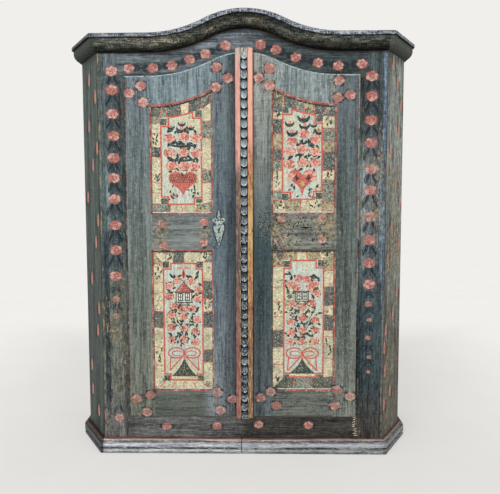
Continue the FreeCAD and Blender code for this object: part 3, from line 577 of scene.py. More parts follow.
def board_material(name, ground_name, grain, inward, trim=None):
    """Painted outside and bare on the side that faces inward. trim may change the colour."""
    t = new_material(name)
    paint = t.group(ground[ground_name])
    wood = t.group(bare[grain])
    inside = facing(t, inward)
    colour = paint["Colour"]
    if trim is not None:
        colour = trim(t, colour)
    colour = t.mix(inside, colour, wood["Colour"])
    return t.surface(colour, t.ramp(paint["Worn"], 0.0, 1.0, 0.5, 0.8), paint["Height"], depth=0.0006)


def chamfer_trim(t, colour):
    """Worn red on the bevels of a door, a pale blue along its arched top edge as a painted highlight, and
    painted shade low on the right door's outer bevel.
    """
    normal = t.split(t.normal)
    place = t.place
    front = abs(normal.y)
    bevel = t.ramp(front, 0.3, 0.4) * t.ramp(front, 0.93, 0.85)
    brush = t.noise(85.0, 5.0, 0.75)
    patch = t.noise(34.0, 5.0, 0.75, shift=5.0)
    red = t.tones(brush, 0.44, 0.56, srgb(150, 70, 62), srgb(204, 108, 94))
    red = t.layers(red, (patch, 0.52, 0.6, 1.0, srgb(196, 172, 154)))
    outer = t.ramp(abs(place.x), 0.48, 0.484)
    rubbed = t.on_right * t.ramp(place.z, 0.6, 0.8)
    rim = t.mix(rubbed, srgb(62, 56, 54), srgb(170, 162, 144))
    # The near-black low on the right door's outer bevel is painted shade
    red = t.layers(red, (outer * t.ramp(brush, 0.42, 0.5), rim),
                   (outer * t.on_right * t.ramp(place.z, 0.74, 0.6), srgb(34, 30, 28)))
    dull = t.window(place.x, 0.05, 0.2, 0.02) * t.window(place.z, 0.25, 0.95, 0.05)
    over = t.ramp(place.x, 0.05, 0.1) * t.window(place.z, 0.855, 0.93, 0.01)
    dull = t.larger(dull, over) * t.ramp(brush, 0.4, 0.5)
    red = t.mix(dull, red, srgb(84, 76, 66))
    # Painted highlight: pale blue on the bevel that faces up along the door's top
    high = t.ramp(place.z, door_high_z - 0.03, door_high_z - 0.02)
    pale = t.tones(brush, 0.4, 0.6, srgb(132, 152, 164), srgb(200, 212, 218))
    edge = t.mix(t.ramp(abs(normal.z), 0.3, 0.4) * high, red, pale)
    gone = t.ramp(patch, 0.48, 0.42) * (0.8 - high * 0.8)
    foot = t.ramp(place.z, door_low_z + 0.012, door_low_z + 0.008)
    gone = t.larger(gone, foot * 0.9)
    return t.mix(bevel * (1.0 - gone), colour, edge)


def arris_trim(t, colour):
    """Paint rubbed off along the arrises between the front and the canted corners."""
    place = t.place
    off_x = arris_x - abs(place.x)
    off_y = place.y - case_y
    rub = t.noise(along("z", 90.0, 16.0), 5.0, 0.72)
    tan = t.tones(rub, 0.42, 0.58, srgb(100, 92, 72), srgb(174, 158, 118))
    reach = t.ramp(rub, 0.46, 0.60, 0.001, 0.011) - t.on_right * 0.009
    near = t.ramp(reach - off_x, 0.0, 0.002) * t.ramp(off_y, 0.003, 0.001)
    colour = t.mix(near * 0.62, colour, tan)
    distance = t.larger(abs(off_x), abs(off_y))
    line = t.ramp(distance, 0.0045, 0.0020)
    return t.mix(line * 0.75, colour, t.mix(t.on_right, srgb(40, 38, 34), srgb(60, 64, 66)))


def bare_material(name, grain, boards=0, low=0.0, high=1.0):
    """Bare wood. Boards side by side have their own tones and dark lines between them."""
    t = new_material(name)
    wood = t.group(bare[grain])
    colour = wood["Colour"]
    if boards:
        along_x = (t.place.x - low) * (boards / (high - low))
        tone = t.math("FRACT", t.math("FLOOR", along_x) * 0.618)
        colour = t.scale(colour, 0.8 + 0.36 * tone)
        part = t.math("FRACT", along_x)
        seam = t.larger(t.ramp(part, 0.016, 0.008), t.ramp(part, 0.984, 0.992))
        colour = t.mix(seam * 0.75, colour, srgb(28, 20, 14))
    return t.surface(colour, 0.72, wood["Height"], depth=0.0005)


def cornice_material(name, shade, rounded):
    """Dark green-grey paint on the ovolo, flecked and rubbed, with painted shade that darkens it where its
    face turns downwards, towards its lower edge. shade scales the pieces that are not rounded.
    """
    t = new_material(name)
    brush = t.noise(along("x", 150.0, 22.0), 4.0, 0.72)
    patch = t.noise((9.0, 24.0, 24.0), 4.0, 0.62, shift=4.0)
    fleck = t.noise((260.0, 90.0, 90.0), 4.0, 0.74)
    lean = t.split(t.normal).z + 1.0
    if rounded:
        colour = t.tones(brush, 0.42, 0.58, srgb(46, 50, 46), srgb(112, 116, 108))
        colour = t.layers(colour, (fleck, 0.54, 0.64, 0.6, srgb(160, 160, 146)),
                          (fleck, 0.45, 0.38, 0.5, srgb(34, 36, 32)))
        blotch = t.noise((26.0, 60.0, 60.0), 4.0, 0.7, shift=8.0)
        colour = t.scale(colour, t.ramp(blotch, 0.38, 0.62, 0.62, 1.34))
        level = patch + (fleck - 0.5) * 0.9
        tan = t.tones(brush, 0.44, 0.56, srgb(110, 98, 78), srgb(196, 188, 166))
        colour = t.layers(colour, (level, 0.56, 0.65, 0.8, tan))
        # Painted shade by how far the face turns downwards, on its own curve at the left, at the crest and at
        # the right
        left = t.fall(lean, (0.0, 0.04), (0.134, 0.16), (0.293, 0.22),
                      (0.50, 0.70), (0.74, 0.80), (0.93, 0.90), (1.0, 0.70))
        crest = t.fall(lean, (0.0, 0.02), (0.07, 0.05), (0.19, 0.15),
                       (0.43, 0.44), (0.67, 0.56), (0.85, 0.46), (1.0, 0.24))
        right = t.fall(lean, (0.0, 0.012), (0.034, 0.03), (0.134, 0.07), (0.293, 0.15),
                       (0.50, 0.30), (0.74, 0.42), (0.93, 0.70), (1.0, 0.72))
        across = t.place.x - crest_x * MM
        fall = t.tones(across, -0.15, -0.35, crest, left)
        fall = t.layers(fall, (across, 0.15, 0.35, 1.0, right))
        colour = t.times(colour, fall)
    else:
        colour = t.tones(brush, 0.40, 0.60, srgb(70, 75, 69), srgb(96, 101, 93))
        colour = t.layers(colour, (fleck, 0.58, 0.66, 0.6, srgb(140, 142, 130)),
                          (patch, 0.56, 0.66, 0.35, srgb(96, 88, 72)))
        # Painted shade, darker where the face turns downwards
        fall = t.fall(lean, (0.0, 0.40), (0.30, 0.60), (0.74, 0.92), (1.0, 0.95))
        colour = t.scale(t.times(colour, fall), shade)
    return t.surface(colour, 0.7, brush + patch, depth=0.0008)


def cap_material():
    """Weathered grey slab over the ovolo, with painted shade on its underside, a painted shadow line along
    its lower edge, painted light towards its right end and painted shade on its left return.
    """
    t = new_material("cap_paint")
    place = t.place
    brush = t.noise(along("x", 170.0, 20.0), 4.0, 0.72)
    patch = t.noise(along("x", 40.0, 14.0), 5.0, 0.72)
    tick = t.noise((240.0, 70.0, 50.0), 4.0, 0.75)
    x = place.x
    # Painted light towards the right end and painted shade on the left return
    ends = t.ramp(x, 0.15, 0.45, 1.0, 1.15) * t.ramp(x, -0.6, -0.66, 1.0, 0.5)
    colour = t.tones(brush, 0.42, 0.58, srgb(52, 58, 66), srgb(152, 160, 172))
    colour = t.layers(colour, (patch, 0.5, 0.6, 0.45, srgb(52, 53, 54)),
                      (patch, 0.44, 0.36, 0.5, srgb(190, 198, 208)),
                      (tick, 0.54, 0.62, 0.7, srgb(206, 212, 220)), (tick, 0.44, 0.36, 0.7, srgb(34, 36, 38)))
    colour = t.scale(colour, ends)
    # Painted shade on the underside
    under = facing(t, (0.0, 0.0, -1.0), 0.4, 0.6)
    colour = t.mix(under * 0.85, colour, srgb(16, 16, 14))
    # Painted shadow line along the lower edge of the front
    cap_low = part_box("left_cap_front")[0].z
    above = place.z - cap_low - node_serpentine(t, x)
    colour = t.layers(colour, (above, 0.0042, 0.0016, 0.9, srgb(14, 15, 12)))
    return t.surface(colour, 0.68, brush + patch * 0.4, depth=0.0009)


plinth_height = 0.065


def plinth_material(name, shade):
    """Lavender grey plinth: a maroon and a pale line on its bevel, a dark band painted as the groove's shade
    and a bright band painted as the lip's highlight.
    """
    t = new_material(name)
    x, _, z = t.place
    brush = t.noise(along("x", 190.0, 12.0), 4.0, 0.70)
    patch = t.noise(along("x", 80.0, 14.0), 5.0, 0.74)
    broad = t.noise(along("x", 9.0, 3.0), 2.0)
    tick = t.noise(along("x", 180.0, 60.0), 4.0, 0.75)
    wobble = (broad - 0.5) * 0.006 - t.ramp(x, 0.0, 0.5, 0.0, 0.003)
    up = (z + wobble) / plinth_height
    # Bands by height: the dark band over the groove is painted shade and the bright one under it a painted
    # highlight on the lip
    body = t.stops(up, (0.0, 62, 62, 62), (0.08, 104, 106, 106), (0.20, 150, 152, 156), (0.29, 214, 216, 218),
                   (0.34, 52, 54, 58), (0.44, 70, 73, 78), (0.50, 160, 165, 174), (0.60, 188, 192, 200),
                   (0.72, 160, 165, 172), (0.80, 116, 118, 122), (0.86, 104, 100, 98), (0.895, 176, 168, 160),
                   (0.925, 178, 160, 150), (0.945, 136, 102, 96), (0.98, 112, 70, 66))
    colour = t.scale(body, t.ramp(brush, 0.42, 0.58, 0.7, 1.26))
    level = patch + (broad - 0.5) * 0.35
    below = t.ramp(up, 0.93, 0.90)
    for noise, low, high, strength, mark in ((level, 0.52, 0.60, 0.40, srgb(222, 222, 220)),
                                             (level, 0.44, 0.38, 0.50, srgb(58, 60, 68)),
                                             (tick, 0.56, 0.63, 0.55, srgb(234, 233, 228)),
                                             (tick, 0.43, 0.36, 0.60, srgb(50, 52, 56))):
        colour = t.mix(t.ramp(noise, low, high, 0.0, strength) * below, colour, mark)
    joint = t.window(x, -0.0058, -0.0022, 0.0006)
    colour = t.mix(joint * 0.9, colour, ink)
    colour = t.scale(colour, t.ramp(x, -0.3, 0.3, shade * 1.22, shade * 0.88))
    return t.surface(colour, 0.65, brush + patch, depth=0.0008)


carving_depth = 0.0065


def astragal_material():
    """Salmon bevels, worn to bare wood on the right, round a carved grey-blue band, with painted shadow under
    the scales' tips and along the outer edges, painted highlights on the scales and painted light on the
    right bevel.
    """
    t = new_material("astragal_paint")
    place = t.place
    middle = (astragal_low.x + astragal_high.x) / 2
    off = place.x - middle
    up = place.z / astragal_high.z
    brush = t.noise(along("z", 190.0, 12.0), 4.0, 0.7)
    fleck = t.noise(130.0, 4.0, 0.75)
    chip = t.noise(along("z", 130.0, 34.0), 4.0, 0.7, shift=3.0)
    wander = up + (t.noise(along("z", 40.0, 8.0)) - 0.5) * 0.1
    left = t.stops(wander, (0.0, 170, 114, 102), (0.36, 150, 110, 102), (0.46, 106, 92, 90),
                   (0.69, 124, 106, 100), (0.74, 232, 172, 158), (0.96, 238, 180, 166), (1.0, 214, 196, 188))
    # The right bevel's tones are its worn paint and bare wood, raised as painted light where the lamps leave
    # that side in shade
    right = t.stops(wander, (0.0, 152, 118, 96), (0.28, 160, 124, 100),
                    (0.42, 192, 138, 98), (0.50, 212, 158, 106), (0.60, 232, 192, 132),
                    (0.70, 208, 142, 98), (0.80, 252, 176, 152), (1.0, 252, 192, 172))
    bevel = t.tones(off, -0.002, 0.002, left, right)
    streaked = t.ramp(brush, 0.42, 0.6, 0.36, 0.0) * (1.0 - t.ramp(off, -0.002, 0.002) * t.ramp(up, 0.7, 0.8))
    bevel = t.mix(streaked, bevel, t.times(bevel, (0.48, 0.42, 0.42)))
    bare_share = t.ramp(up, 0.8, 0.65, 0.1, 0.75) * t.ramp(off, -0.002, 0.002, 0.35, 1.0)
    drift = t.noise(along("z", 60.0, 14.0), 4.0, 0.7, shift=9.0)
    browned = t.ramp(drift, 0.52, 0.6) * (bare_share * 0.8)
    bevel = t.layers(bevel, (browned, srgb(158, 92, 66)),
                     (t.ramp(chip, 0.55, 0.61) * bare_share, srgb(232, 196, 138)),
                     (t.ramp(chip, 0.43, 0.37) * t.ramp(up, 0.85, 0.7, 0.3, 0.75), srgb(54, 44, 40)))
    # Painted shadow along the astragal's outer edges
    side = t.ramp(abs(off), 0.034, 0.0362)
    bevel = t.mix(side * 0.7, bevel, srgb(52, 44, 40))
    seam = t.window(abs(off), 0.015, 0.0172, 0.0006)
    edge = t.tones(chip, 0.44, 0.54, srgb(40, 34, 30), srgb(190, 176, 132))
    bevel = t.mix(seam * 0.85, bevel, edge)

    # The scales' colour by their height: black where they are deepest, under each tip, as painted shadow, and
    # lightest at the tips as painted highlight
    rise = (astragal_low.y + carving_depth - place.y) / carving_depth + (fleck - 0.5) * 0.12
    scale = t.stops(rise, (0.0, ink), (0.36, ink), (0.44, 96, 108, 116),
                    (0.60, 130, 144, 152), (0.84, 164, 176, 182), (1.0, 216, 224, 226))
    rib = t.noise(along("z", 300.0, 26.0), 4.0, 0.75)
    scale = t.layers(scale, (rib, 0.47, 0.4, 0.85, srgb(40, 46, 50)),
                     (rib, 0.56, 0.64, 0.8, srgb(206, 212, 212)))
    dirty = t.tones(fleck, 0.46, 0.56, srgb(26, 28, 28), scale)
    scale = t.layers(scale, (wander, 0.78, 0.5, 0.85, dirty), (rise, 0.38, 0.3, 1.0, ink))
    pale = t.ramp(up, 0.972, 0.985) * t.ramp(rib, 0.4, 0.52)
    scale = t.mix(pale, scale, srgb(204, 198, 186))
    in_band = t.ramp(abs(off), 0.0158, 0.015)
    colour = t.mix(in_band, bevel, scale)
    return t.surface(colour, 0.62, brush + fleck, depth=0.0006)


def iron_material(name, light, dark):
    """Old iron, from a dark to a light tone in its pits and on its skin, and darker as painted shade on the
    faces that turn away from the front.
    """
    t = new_material(name)
    pit = t.noise(130.0, 5.0, 0.78)
    rust = t.noise(80.0, 4.0, 0.7)
    colour = t.tones(pit, 0.41, 0.52, dark, light)
    colour = t.layers(colour, (rust, 0.58, 0.7, 0.6, srgb(96, 72, 54)))
    # Painted shade on the faces that turn away from the front
    front = abs(t.split(t.normal).y)
    colour = t.layers(colour, (front, 0.8, 0.4, 0.7, dark))
    return t.surface(colour, t.ramp(pit, 0.3, 0.7, 0.5, 0.75), pit, depth=0.0006, metallic=0.15, specular=0.3)


# ---- finish of the CAD nodes
def dress(node, material):
    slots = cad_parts[node].data.materials
    slots.clear()
    slots.append(material)


SIDES = (("left", -1), ("right", 1))
inward_front = (0.0, 1.0, 0.0)
cant_run = Vector((side_x - arris_x, cant_y - case_y, 0.0))
cant_width = cant_run.length

for side, sign in SIDES:
    cant_inward = Vector((-sign * cant_run.y, cant_run.x, 0.0)) / cant_width
    dress(side + "_front_stile", board_material(side + "_stile_paint", "case_z",
                                                "z", inward_front, arris_trim))
    dress(side + "_canted_board", board_material(side + "_cant_paint", side + "_cant",
                                                 "z", tuple(cant_inward), arris_trim))
    dress(side + "_side_board", board_material(side + "_side_paint", side + "_cant", "z", (-sign, 0.0, 0.0)))
    dress(side + "_bottom_rail", board_material(side + "_bottom_paint", "case_x", "x", inward_front))
    upright = board_material(side + "_door_paint_z", side + "_door_z", "z", inward_front, chamfer_trim)
    level = board_material(side + "_door_paint_x", side + "_door_x", "x", inward_front, chamfer_trim)
    for member, material in (("hinge_stile", upright), ("lock_stile", upright), ("top_rail", upright),
                             ("mid_rail", level), ("bottom_rail", level)):
        dress(side + "_door_" + member, material)
    for row in ("upper", "lower"):
        name = side + "_" + row + "_panel"
        dress(side + "_door_" + row + "_panel", board_material(name + "_paint", name, "z", inward_front))
dress("frieze_board", board_material("frieze_paint", "case_x", "x", inward_front))

ovolo_paint = cornice_material("ovolo_paint", 1.0, True)
cap_paint = cap_material()
plinth_paint = plinth_material("plinth_paint", 1.0)
# The plinth's side pieces and corners are darker copies, the left ones most, as painted shade
plinth_side_paint = plinth_material("plinth_left_paint", 0.20)
plinth_corner_paint = {"left": plinth_side_paint, "right": plinth_material("plinth_right_paint", 0.75)}
# The left corner and side pieces of the ovolo are darker than the right, as painted shade
for side, ovolo_shade in (("left", 0.66), ("right", 1.0)):
    ovolo_side_paint = cornice_material("ovolo_" + side + "_paint", ovolo_shade, False)
    for part, ovolo, plinth in (("front", ovolo_paint, plinth_paint),
                                ("corner", ovolo_side_paint, plinth_corner_paint[side]),
                                ("side", ovolo_side_paint, plinth_side_paint)):
        dress(side + "_ovolo_" + part, ovolo)
        dress(side + "_cap_" + part, cap_paint)
        dress(side + "_plinth_" + part, plinth)
dress("astragal", astragal_material())

inner_wood = bare_material("inner_wood_x", "x")
for node in ("floor_board", "roof_boards", "lower_shelf", "middle_shelf", "upper_shelf", "shelf_back_cleats"):
    dress(node, inner_wood)
dress("shelf_side_cleats", bare_material("inner_wood_y", "y"))
back_low, back_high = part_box("back_boards")
dress("back_boards", bare_material("back_wood", "z", 6, back_low.x, back_high.x))

dress("escutcheon", iron_material("pale_iron", srgb(178, 192, 186), srgb(52, 60, 60)))
dress("escutcheon_nails", iron_material("black_iron", srgb(44, 44, 42), srgb(20, 20, 20)))
dark_iron = iron_material("dark_iron", srgb(92, 92, 88), srgb(40, 38, 36))
for node in ("lock_case", "lock_bolt", "upper_bolt", "lower_bolt", "bolt_guides",
             "frame_hinge_halves", "left_door_hinge_halves", "right_door_hinge_halves"):
    dress(node, dark_iron)


# ---- paint of the ornament
coat_materials = {}


def coat_material(paint, ground_name, fade):
    """One paint of the ornament as it lies on one ground: brushed, worn with it, and faded by a share."""
    key = "%s_on_%s_%d" % (paint, ground_name, round(fade * 100))
    if key in coat_materials:
        return coat_materials[key]
    t = new_material(key)
    under = t.group(ground[ground_name])
    brush = t.noise((110.0, 110.0, 170.0), 4.0, 0.72)
    chip = t.noise(190.0, 4.0, 0.7, shift=6.0)
    body = PAINTS[paint]
    colour = t.tones(brush, 0.40, 0.60, scaled(body, 0.66), scaled(body, 1.26))
    veins = {"speckle": 0.49, "slate": 0.51, "slab": 0.50, "grey": 0.51, "cream": 0.555}
    if paint in veins:
        marble = t.noise(52.0, 5.0, 0.75, distortion=1.2, shift=2.0)
        pale = 0.35 if paint in ("slate", "slab") else 0.7
        wash = t.noise((34.0, 34.0, 20.0), 4.0, 0.7, shift=13.0)
        if paint in ("cream", "speckle"):
            colour = t.layers(colour, (wash, 0.5, 0.62, 0.65, srgb(150, 154, 132)))
        colour = t.layers(colour, (chip, 0.52, 0.6, pale, srgb(214, 206, 176)),
                          (marble, veins[paint], veins[paint] + 0.08, 0.82, PAINTS["black"]))
    kept = COVER.get(paint, 0.97) - fade - under["Worn"] * 0.6
    kept = kept * t.ramp(chip, 0.66, 0.54, 0.25, 1.0)
    colour = t.mix(kept, under["Colour"], colour)
    coat_materials[key] = t.surface(colour, 0.6, under["Height"] + brush * 0.5, depth=0.0006)
    return coat_materials[key]


# ---- faces that carry painting
edge_keep = 0.6              # coats end this far inside a face's edge


class Flat:
    """Upright flat face between two sides. u runs across it and v up it, both in millimetres."""

    def __init__(self, origin, across, outward, side_low, side_high):
        self.origin = Vector(origin)
        self.across = Vector(across)
        self.outward = Vector(outward)
        self.low_u = side_low + edge_keep
        self.high_u = side_high - edge_keep

    def held(self, u, v):
        """The point, or the nearest one on the face."""
        return min(max(u, self.low_u), self.high_u), v

    def at(self, u, v, lift):
        up = Vector((0.0, 0.0, (v + base) * MM))
        return self.origin + self.across * (u * MM) + up + self.outward * (lift * MM)


class DoorFront(Flat):
    """Front face of one door, from its straight foot to its arched top."""

    def __init__(self, side):
        boxes = [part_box(side + "_door_" + name) for name in ("hinge_stile", "lock_stile")]
        ends = [corner.x / MM for box in boxes for corner in box]
        super().__init__((0.0, door_y, 0.0), (1.0, 0.0, 0.0), (0.0, -1.0, 0.0), min(ends), max(ends))
        self.low_v = door_low_z / MM - base + edge_keep

    def held(self, u, v):
        u, v = super().held(u, v)
        return u, min(max(v, self.low_v), door_high_z / MM - base + serpentine(u) - edge_keep)


class Raised:
    """Raised panel of a door, with a sloping border round a flat field. u and v as on a flat face."""

    def __init__(self, node, arched):
        low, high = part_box(node)
        self.x0 = low.x / MM + tongue
        self.x1 = high.x / MM - tongue
        self.z0 = low.z / MM + tongue - base
        self.arched = arched
        self.z1 = (door_high_z / MM - arch_drop if arched else high.z / MM - tongue) - base

    def top(self, u):
        return self.z1 + (serpentine(u) if self.arched else 0.0)

    def held(self, u, v):
        return u, v

    def at(self, u, v, lift):
        below_top = (self.top(u) - v) * (serpentine_lean(u) if self.arched else 1.0)
        inset = min(u - self.x0, self.x1 - u, v - self.z0, below_top)
        share = max(0.0, min(1.0, inset / panel_border))
        depth = panel_edge_depth - panel_rise * share - lift
        return Vector((u * MM, door_y + depth * MM, (v + base) * MM))


case_front = Flat((0.0, case_y, 0.0), (1.0, 0.0, 0.0), (0.0, -1.0, 0.0), -arris_x / MM, arris_x / MM)
door_fronts = {side: DoorFront(side) for side, sign in SIDES}


def cant_face(sign):
    """Canted corner on one side; u runs from the arris outwards."""
    run = Vector((sign * cant_run.x, cant_run.y, 0.0)) / cant_width
    outward = Vector((sign * cant_run.y, -cant_run.x, 0.0)) / cant_width
    return Flat((sign * arris_x, case_y, 0.0), run, outward, 0.0, cant_width / MM)


# ---- coats
def around(u, v, half_u, half_v, degrees):
    """Point of an ellipse round a centre."""
    angle = math.radians(degrees)
    return u + half_u * math.cos(angle), v + half_v * math.sin(angle)


def spaced(low, high, steps):
    """Evenly spaced numbers from low to high, both included."""
    return [low + (high - low) * i / steps for i in range(steps + 1)]


# A coat's height over its face, in millimetres: a start, a step for each layer, and a small one for its turn
first_lift = 0.15
layer_lift = 0.12
order_lift = 0.004
order_count = 25
sunk = 0.2                   # how far a coat reaches under its face
thinnest = 0.05              # coats that are narrower than this are left out


class Painting:
    """Coats of paint on the faces of one body, kept as one mesh of thin closed pieces."""

    def __init__(self, name, body, slot):
        self.name = name
        self.body = body
        self.slot = slot
        self.vertices = []
        self.faces = []
        self.face_paints = []
        self.paints = []
        self.count = 0
        self.face = None
        self.ground_name = None
        self.fade = 0.0

    def on(self, face, ground_name, fade=0.0):
        """The face and ground that the next coats go on, and how faded they are."""
        self.face = face
        self.ground_name = ground_name
        self.fade = fade

    def held_rows(self, rows):
        """Rows drawn in to the face; those that its edge closes up are left out."""
        kept = []
        for row in rows:
            row = [self.face.held(*point) for point in row]
            same = kept and max(math.dist(a, b) for a, b in zip(row, kept[-1])) < thinnest
            if not same and math.dist(*row) > thinnest:
                kept.append(row)
        return kept

    def strip(self, rows, paint, layer=0):
        """Coat between two edges, given as (left, right) pairs of points."""
        key = (paint, self.ground_name, self.fade)
        if key not in self.paints:
            self.paints.append(key)
        lift = first_lift + layer_lift * layer + order_lift * (self.count % order_count)
        self.count += 1
        rows = self.held_rows(rows)
        if len(rows) < 2:
            return
        first = len(self.vertices)
        for left, right in rows:
            for point, height in ((left, lift), (right, lift), (left, -sunk), (right, -sunk)):
                self.vertices.append(self.face.at(point[0], point[1], height))
        made = [(first, first + 1, first + 3, first + 2)]
        for i in range(len(rows) - 1):
            a = first + 4 * i
            b = a + 4
            made += [(a, b, b + 1, a + 1), (a + 2, a + 3, b + 3, b + 2), (a, a + 2, b + 2, b),
                     (a + 1, b + 1, b + 3, a + 3)]
        last = first + 4 * (len(rows) - 1)
        made.append((last, last + 2, last + 3, last + 1))
        self.faces += made
        self.face_paints += [self.paints.index(key)] * len(made)

    def tiers(self, u, rows, paint, layer=0):
        """Coat that is even about u, with rows given as (half width, height)."""
        self.strip([((u - half, v), (u + half, v)) for half, v in rows], paint, layer)

    def stroke(self, path, width, paint, layer=0):
        """Brush stroke along a path. width is a number, or a function of the share of the way."""
        rows = []
        for i, (u, v) in enumerate(path):
            before = path[max(0, i - 1)]
            after = path[min(len(path) - 1, i + 1)]
            du, dv = after[0] - before[0], after[1] - before[1]
            length = math.hypot(du, dv)
            half = (width(i / (len(path) - 1)) if callable(width) else width) / 2
            nu, nv = -dv / length * half, du / length * half
            rows.append(((u + nu, v + nv), (u - nu, v - nv)))
        self.strip(rows, paint, layer)

    def line(self, points, width, paint, layer=0):
        """Straight strokes from point to point, each a little longer than its leg."""
        for (u0, v0), (u1, v1) in zip(points, points[1:]):
            length = math.hypot(u1 - u0, v1 - v0)
            du, dv = (u1 - u0) / length * width / 2, (v1 - v0) / length * width / 2
            steps = max(2, int(length / 60.0) + 1)
            start = (u0 - du, v0 - dv)
            end = (u1 + du, v1 + dv)
            path = list(zip(spaced(start[0], end[0], steps), spaced(start[1], end[1], steps)))
            self.stroke(path, width, paint, layer)

    def spot(self, u, v, half_u, half_v, paint, layer=0, lobes=0, turn=0.0, ripple=0.1):
        """Round dab, with a lobed edge where lobes is given."""
        rows = []
        for angle in spaced(0.07 * math.pi, 0.93 * math.pi, 7):
            edge = []
            for side in (1, -1):
                heading = math.pi / 2 - side * angle
                reach = 1.0 - ripple + ripple * math.cos(lobes * heading + turn) if lobes else 1.0
                edge.append((u - side * half_u * reach * math.sin(angle),
                             v + half_v * reach * math.cos(angle)))
            rows.append(tuple(edge))
        self.strip(rows, paint, layer)

    def arc(self, u, v, radius, start, end, width, paint, layer=0):
        """Crescent stroke round a centre, between two angles in degrees."""
        path = [around(u, v, radius, radius, angle) for angle in spaced(start, end, 6)]
        self.stroke(path, lambda share: max(0.25, width * math.sin(math.pi * (0.06 + 0.88 * share))),
                    paint, layer)

    def leaf(self, u, v, angle, length, width, paint, layer=0, bend=0.0):
        """Pointed leaf that starts at a point and leaves it at an angle in degrees; bend turns its tip."""
        path = [around(u, v, length * share, length * share, angle + bend * share / 2)
                for share in spaced(0, 1, 6)]
        self.stroke(path, lambda share: max(0.3, width * math.sin(math.pi * share ** 0.8)), paint, layer)

    def finish(self):
        """Make the mesh, and let it ride on its body."""
        mesh = bpy.data.meshes.new(self.name)
        mesh.from_pydata([tuple(v) for v in self.vertices], [], self.faces)
        for paint, ground_name, fade in self.paints:
            mesh.materials.append(coat_material(paint, ground_name, fade))
        for polygon, index in zip(mesh.polygons, self.face_paints):
            polygon.material_index = index
        shape = bmesh.new()
        shape.from_mesh(mesh)
        bmesh.ops.recalc_face_normals(shape, faces=shape.faces)
        shape.to_mesh(mesh)
        shape.free()
        piece = add_object(self.name, mesh)
        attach(piece, self.body)


# ---- motifs
rng = random.Random(11)


def rose(p, u, v, radius, layer=1, flat=0.82, soft=True):
    """Round rose: a lobed dab under six petals and a small heart. Soft ones are dull and fade out."""
    turn = rng.uniform(0, 360)
    high = radius * flat
    mid, light, dark = ("dull", "dull_light", "dull_dark") if soft else ("rose", "rose_light", "rose_dark")
    reach = 0.94 if soft else 1.0
    if soft:
        p.spot(u, v, radius * 1.20, high * 1.20, "dull_haze", layer - 1, lobes=5, turn=turn, ripple=0.08)
    p.spot(u, v, radius * reach, high * reach, dark, layer, lobes=6, turn=turn, ripple=0.07)
    for k in range(6):
        petal = around(u, v, radius * 0.58, high * 0.58, turn + 60 * k + rng.uniform(-10, 10))
        size = radius * (rng.uniform(0.34, 0.44) if soft else rng.uniform(0.32, 0.40))
        paint = light if rng.random() < (0.5 if soft else 0.72) else mid
        p.spot(*petal, size, size * 0.85, paint, layer + 1)
    p.spot(u, v, radius * 0.34, high * 0.34, mid, layer + 1)
    for k in range(3):
        start = turn + 120 * k
        p.arc(u, v, radius * 0.38, start, start + 90, radius * 0.11, dark, layer + 2)
    p.spot(u + radius * 0.08, v + high * 0.05, radius * 0.12, radius * 0.10, light, layer + 3)
    if soft:
        for k in range(3):
            p.spot(u + rng.uniform(-0.6, 0.6) * radius,
                   v + rng.uniform(-0.6, 0.6) * high, 1.9, 2.4, "gold", layer + 3)


def stile_leaves(p, u, high, low):
    """Two broad dark leaves that hang in an arch from one rose to the next, over a thin wash."""
    reach = (high - low) * 0.70
    p.spot(u, (high + low) / 2, 31, (high - low) * 0.36, "leaf_haze", 0)
    for sign in (-1, 1):
        angle = -90 + sign * rng.uniform(44, 52)
        p.leaf(u + sign * 4, high - 8, angle, reach, 20, "leaf", 1, bend=-sign * 46)
        p.leaf(u + sign * 15, high - 14, angle, reach * 0.55, 2.6, "leaf_light", 2, bend=-sign * 46)
    for k in range(3):
        p.spot(u + rng.uniform(-7, 7), (high + low) / 2 - 10 + rng.uniform(-14, 10),
               2.2, 3.0, "leaf_light", 2)


def sprig(p, u, v, angle, size):
    """Three dark leaves that fan out from a point."""
    for turn, share in ((-40, 0.9), (0, 1.0), (40, 0.9)):
        p.leaf(u, v, angle + turn + rng.uniform(-8, 8), size * share, size * 0.42, "leaf", 0, bend=turn * 0.5)


def foliage(p, u, v, half_u, half_v, count, size, layer=2, paint="leaf"):
    """Small leaves strewn closely over a band, each turned its own way."""
    for i in range(count):
        lu = u - half_u + 2 * half_u * (i + 0.5) / count + rng.uniform(-3, 3)
        lv = v + rng.uniform(-half_v, half_v)
        angle = rng.uniform(10, 170) + (180 if rng.random() < 0.35 else 0)
        p.leaf(lu, lv, angle, size * rng.uniform(0.8, 1.25), size * rng.uniform(0.40, 0.55), paint, layer,
               bend=rng.uniform(-60, 60))


def tulip(p, u, v, size):
    """Dark cup, thick in the middle, with a small red flower in it."""
    cup = [around(u, v + size * 0.70, size * 0.66, size * 0.56, angle) for angle in spaced(174, 366, 10)]
    p.stroke(cup, lambda share: size * (0.10 + 0.40 * math.sin(math.pi * share)), "leaf", 2)
    p.spot(u, v + size * 0.62, size * 0.26, size * 0.28, "rose", 3, lobes=3, turn=rng.uniform(0, 360))
    p.spot(u - size * 0.06, v + size * 0.66, size * 0.10, size * 0.12, "rose_light", 4)


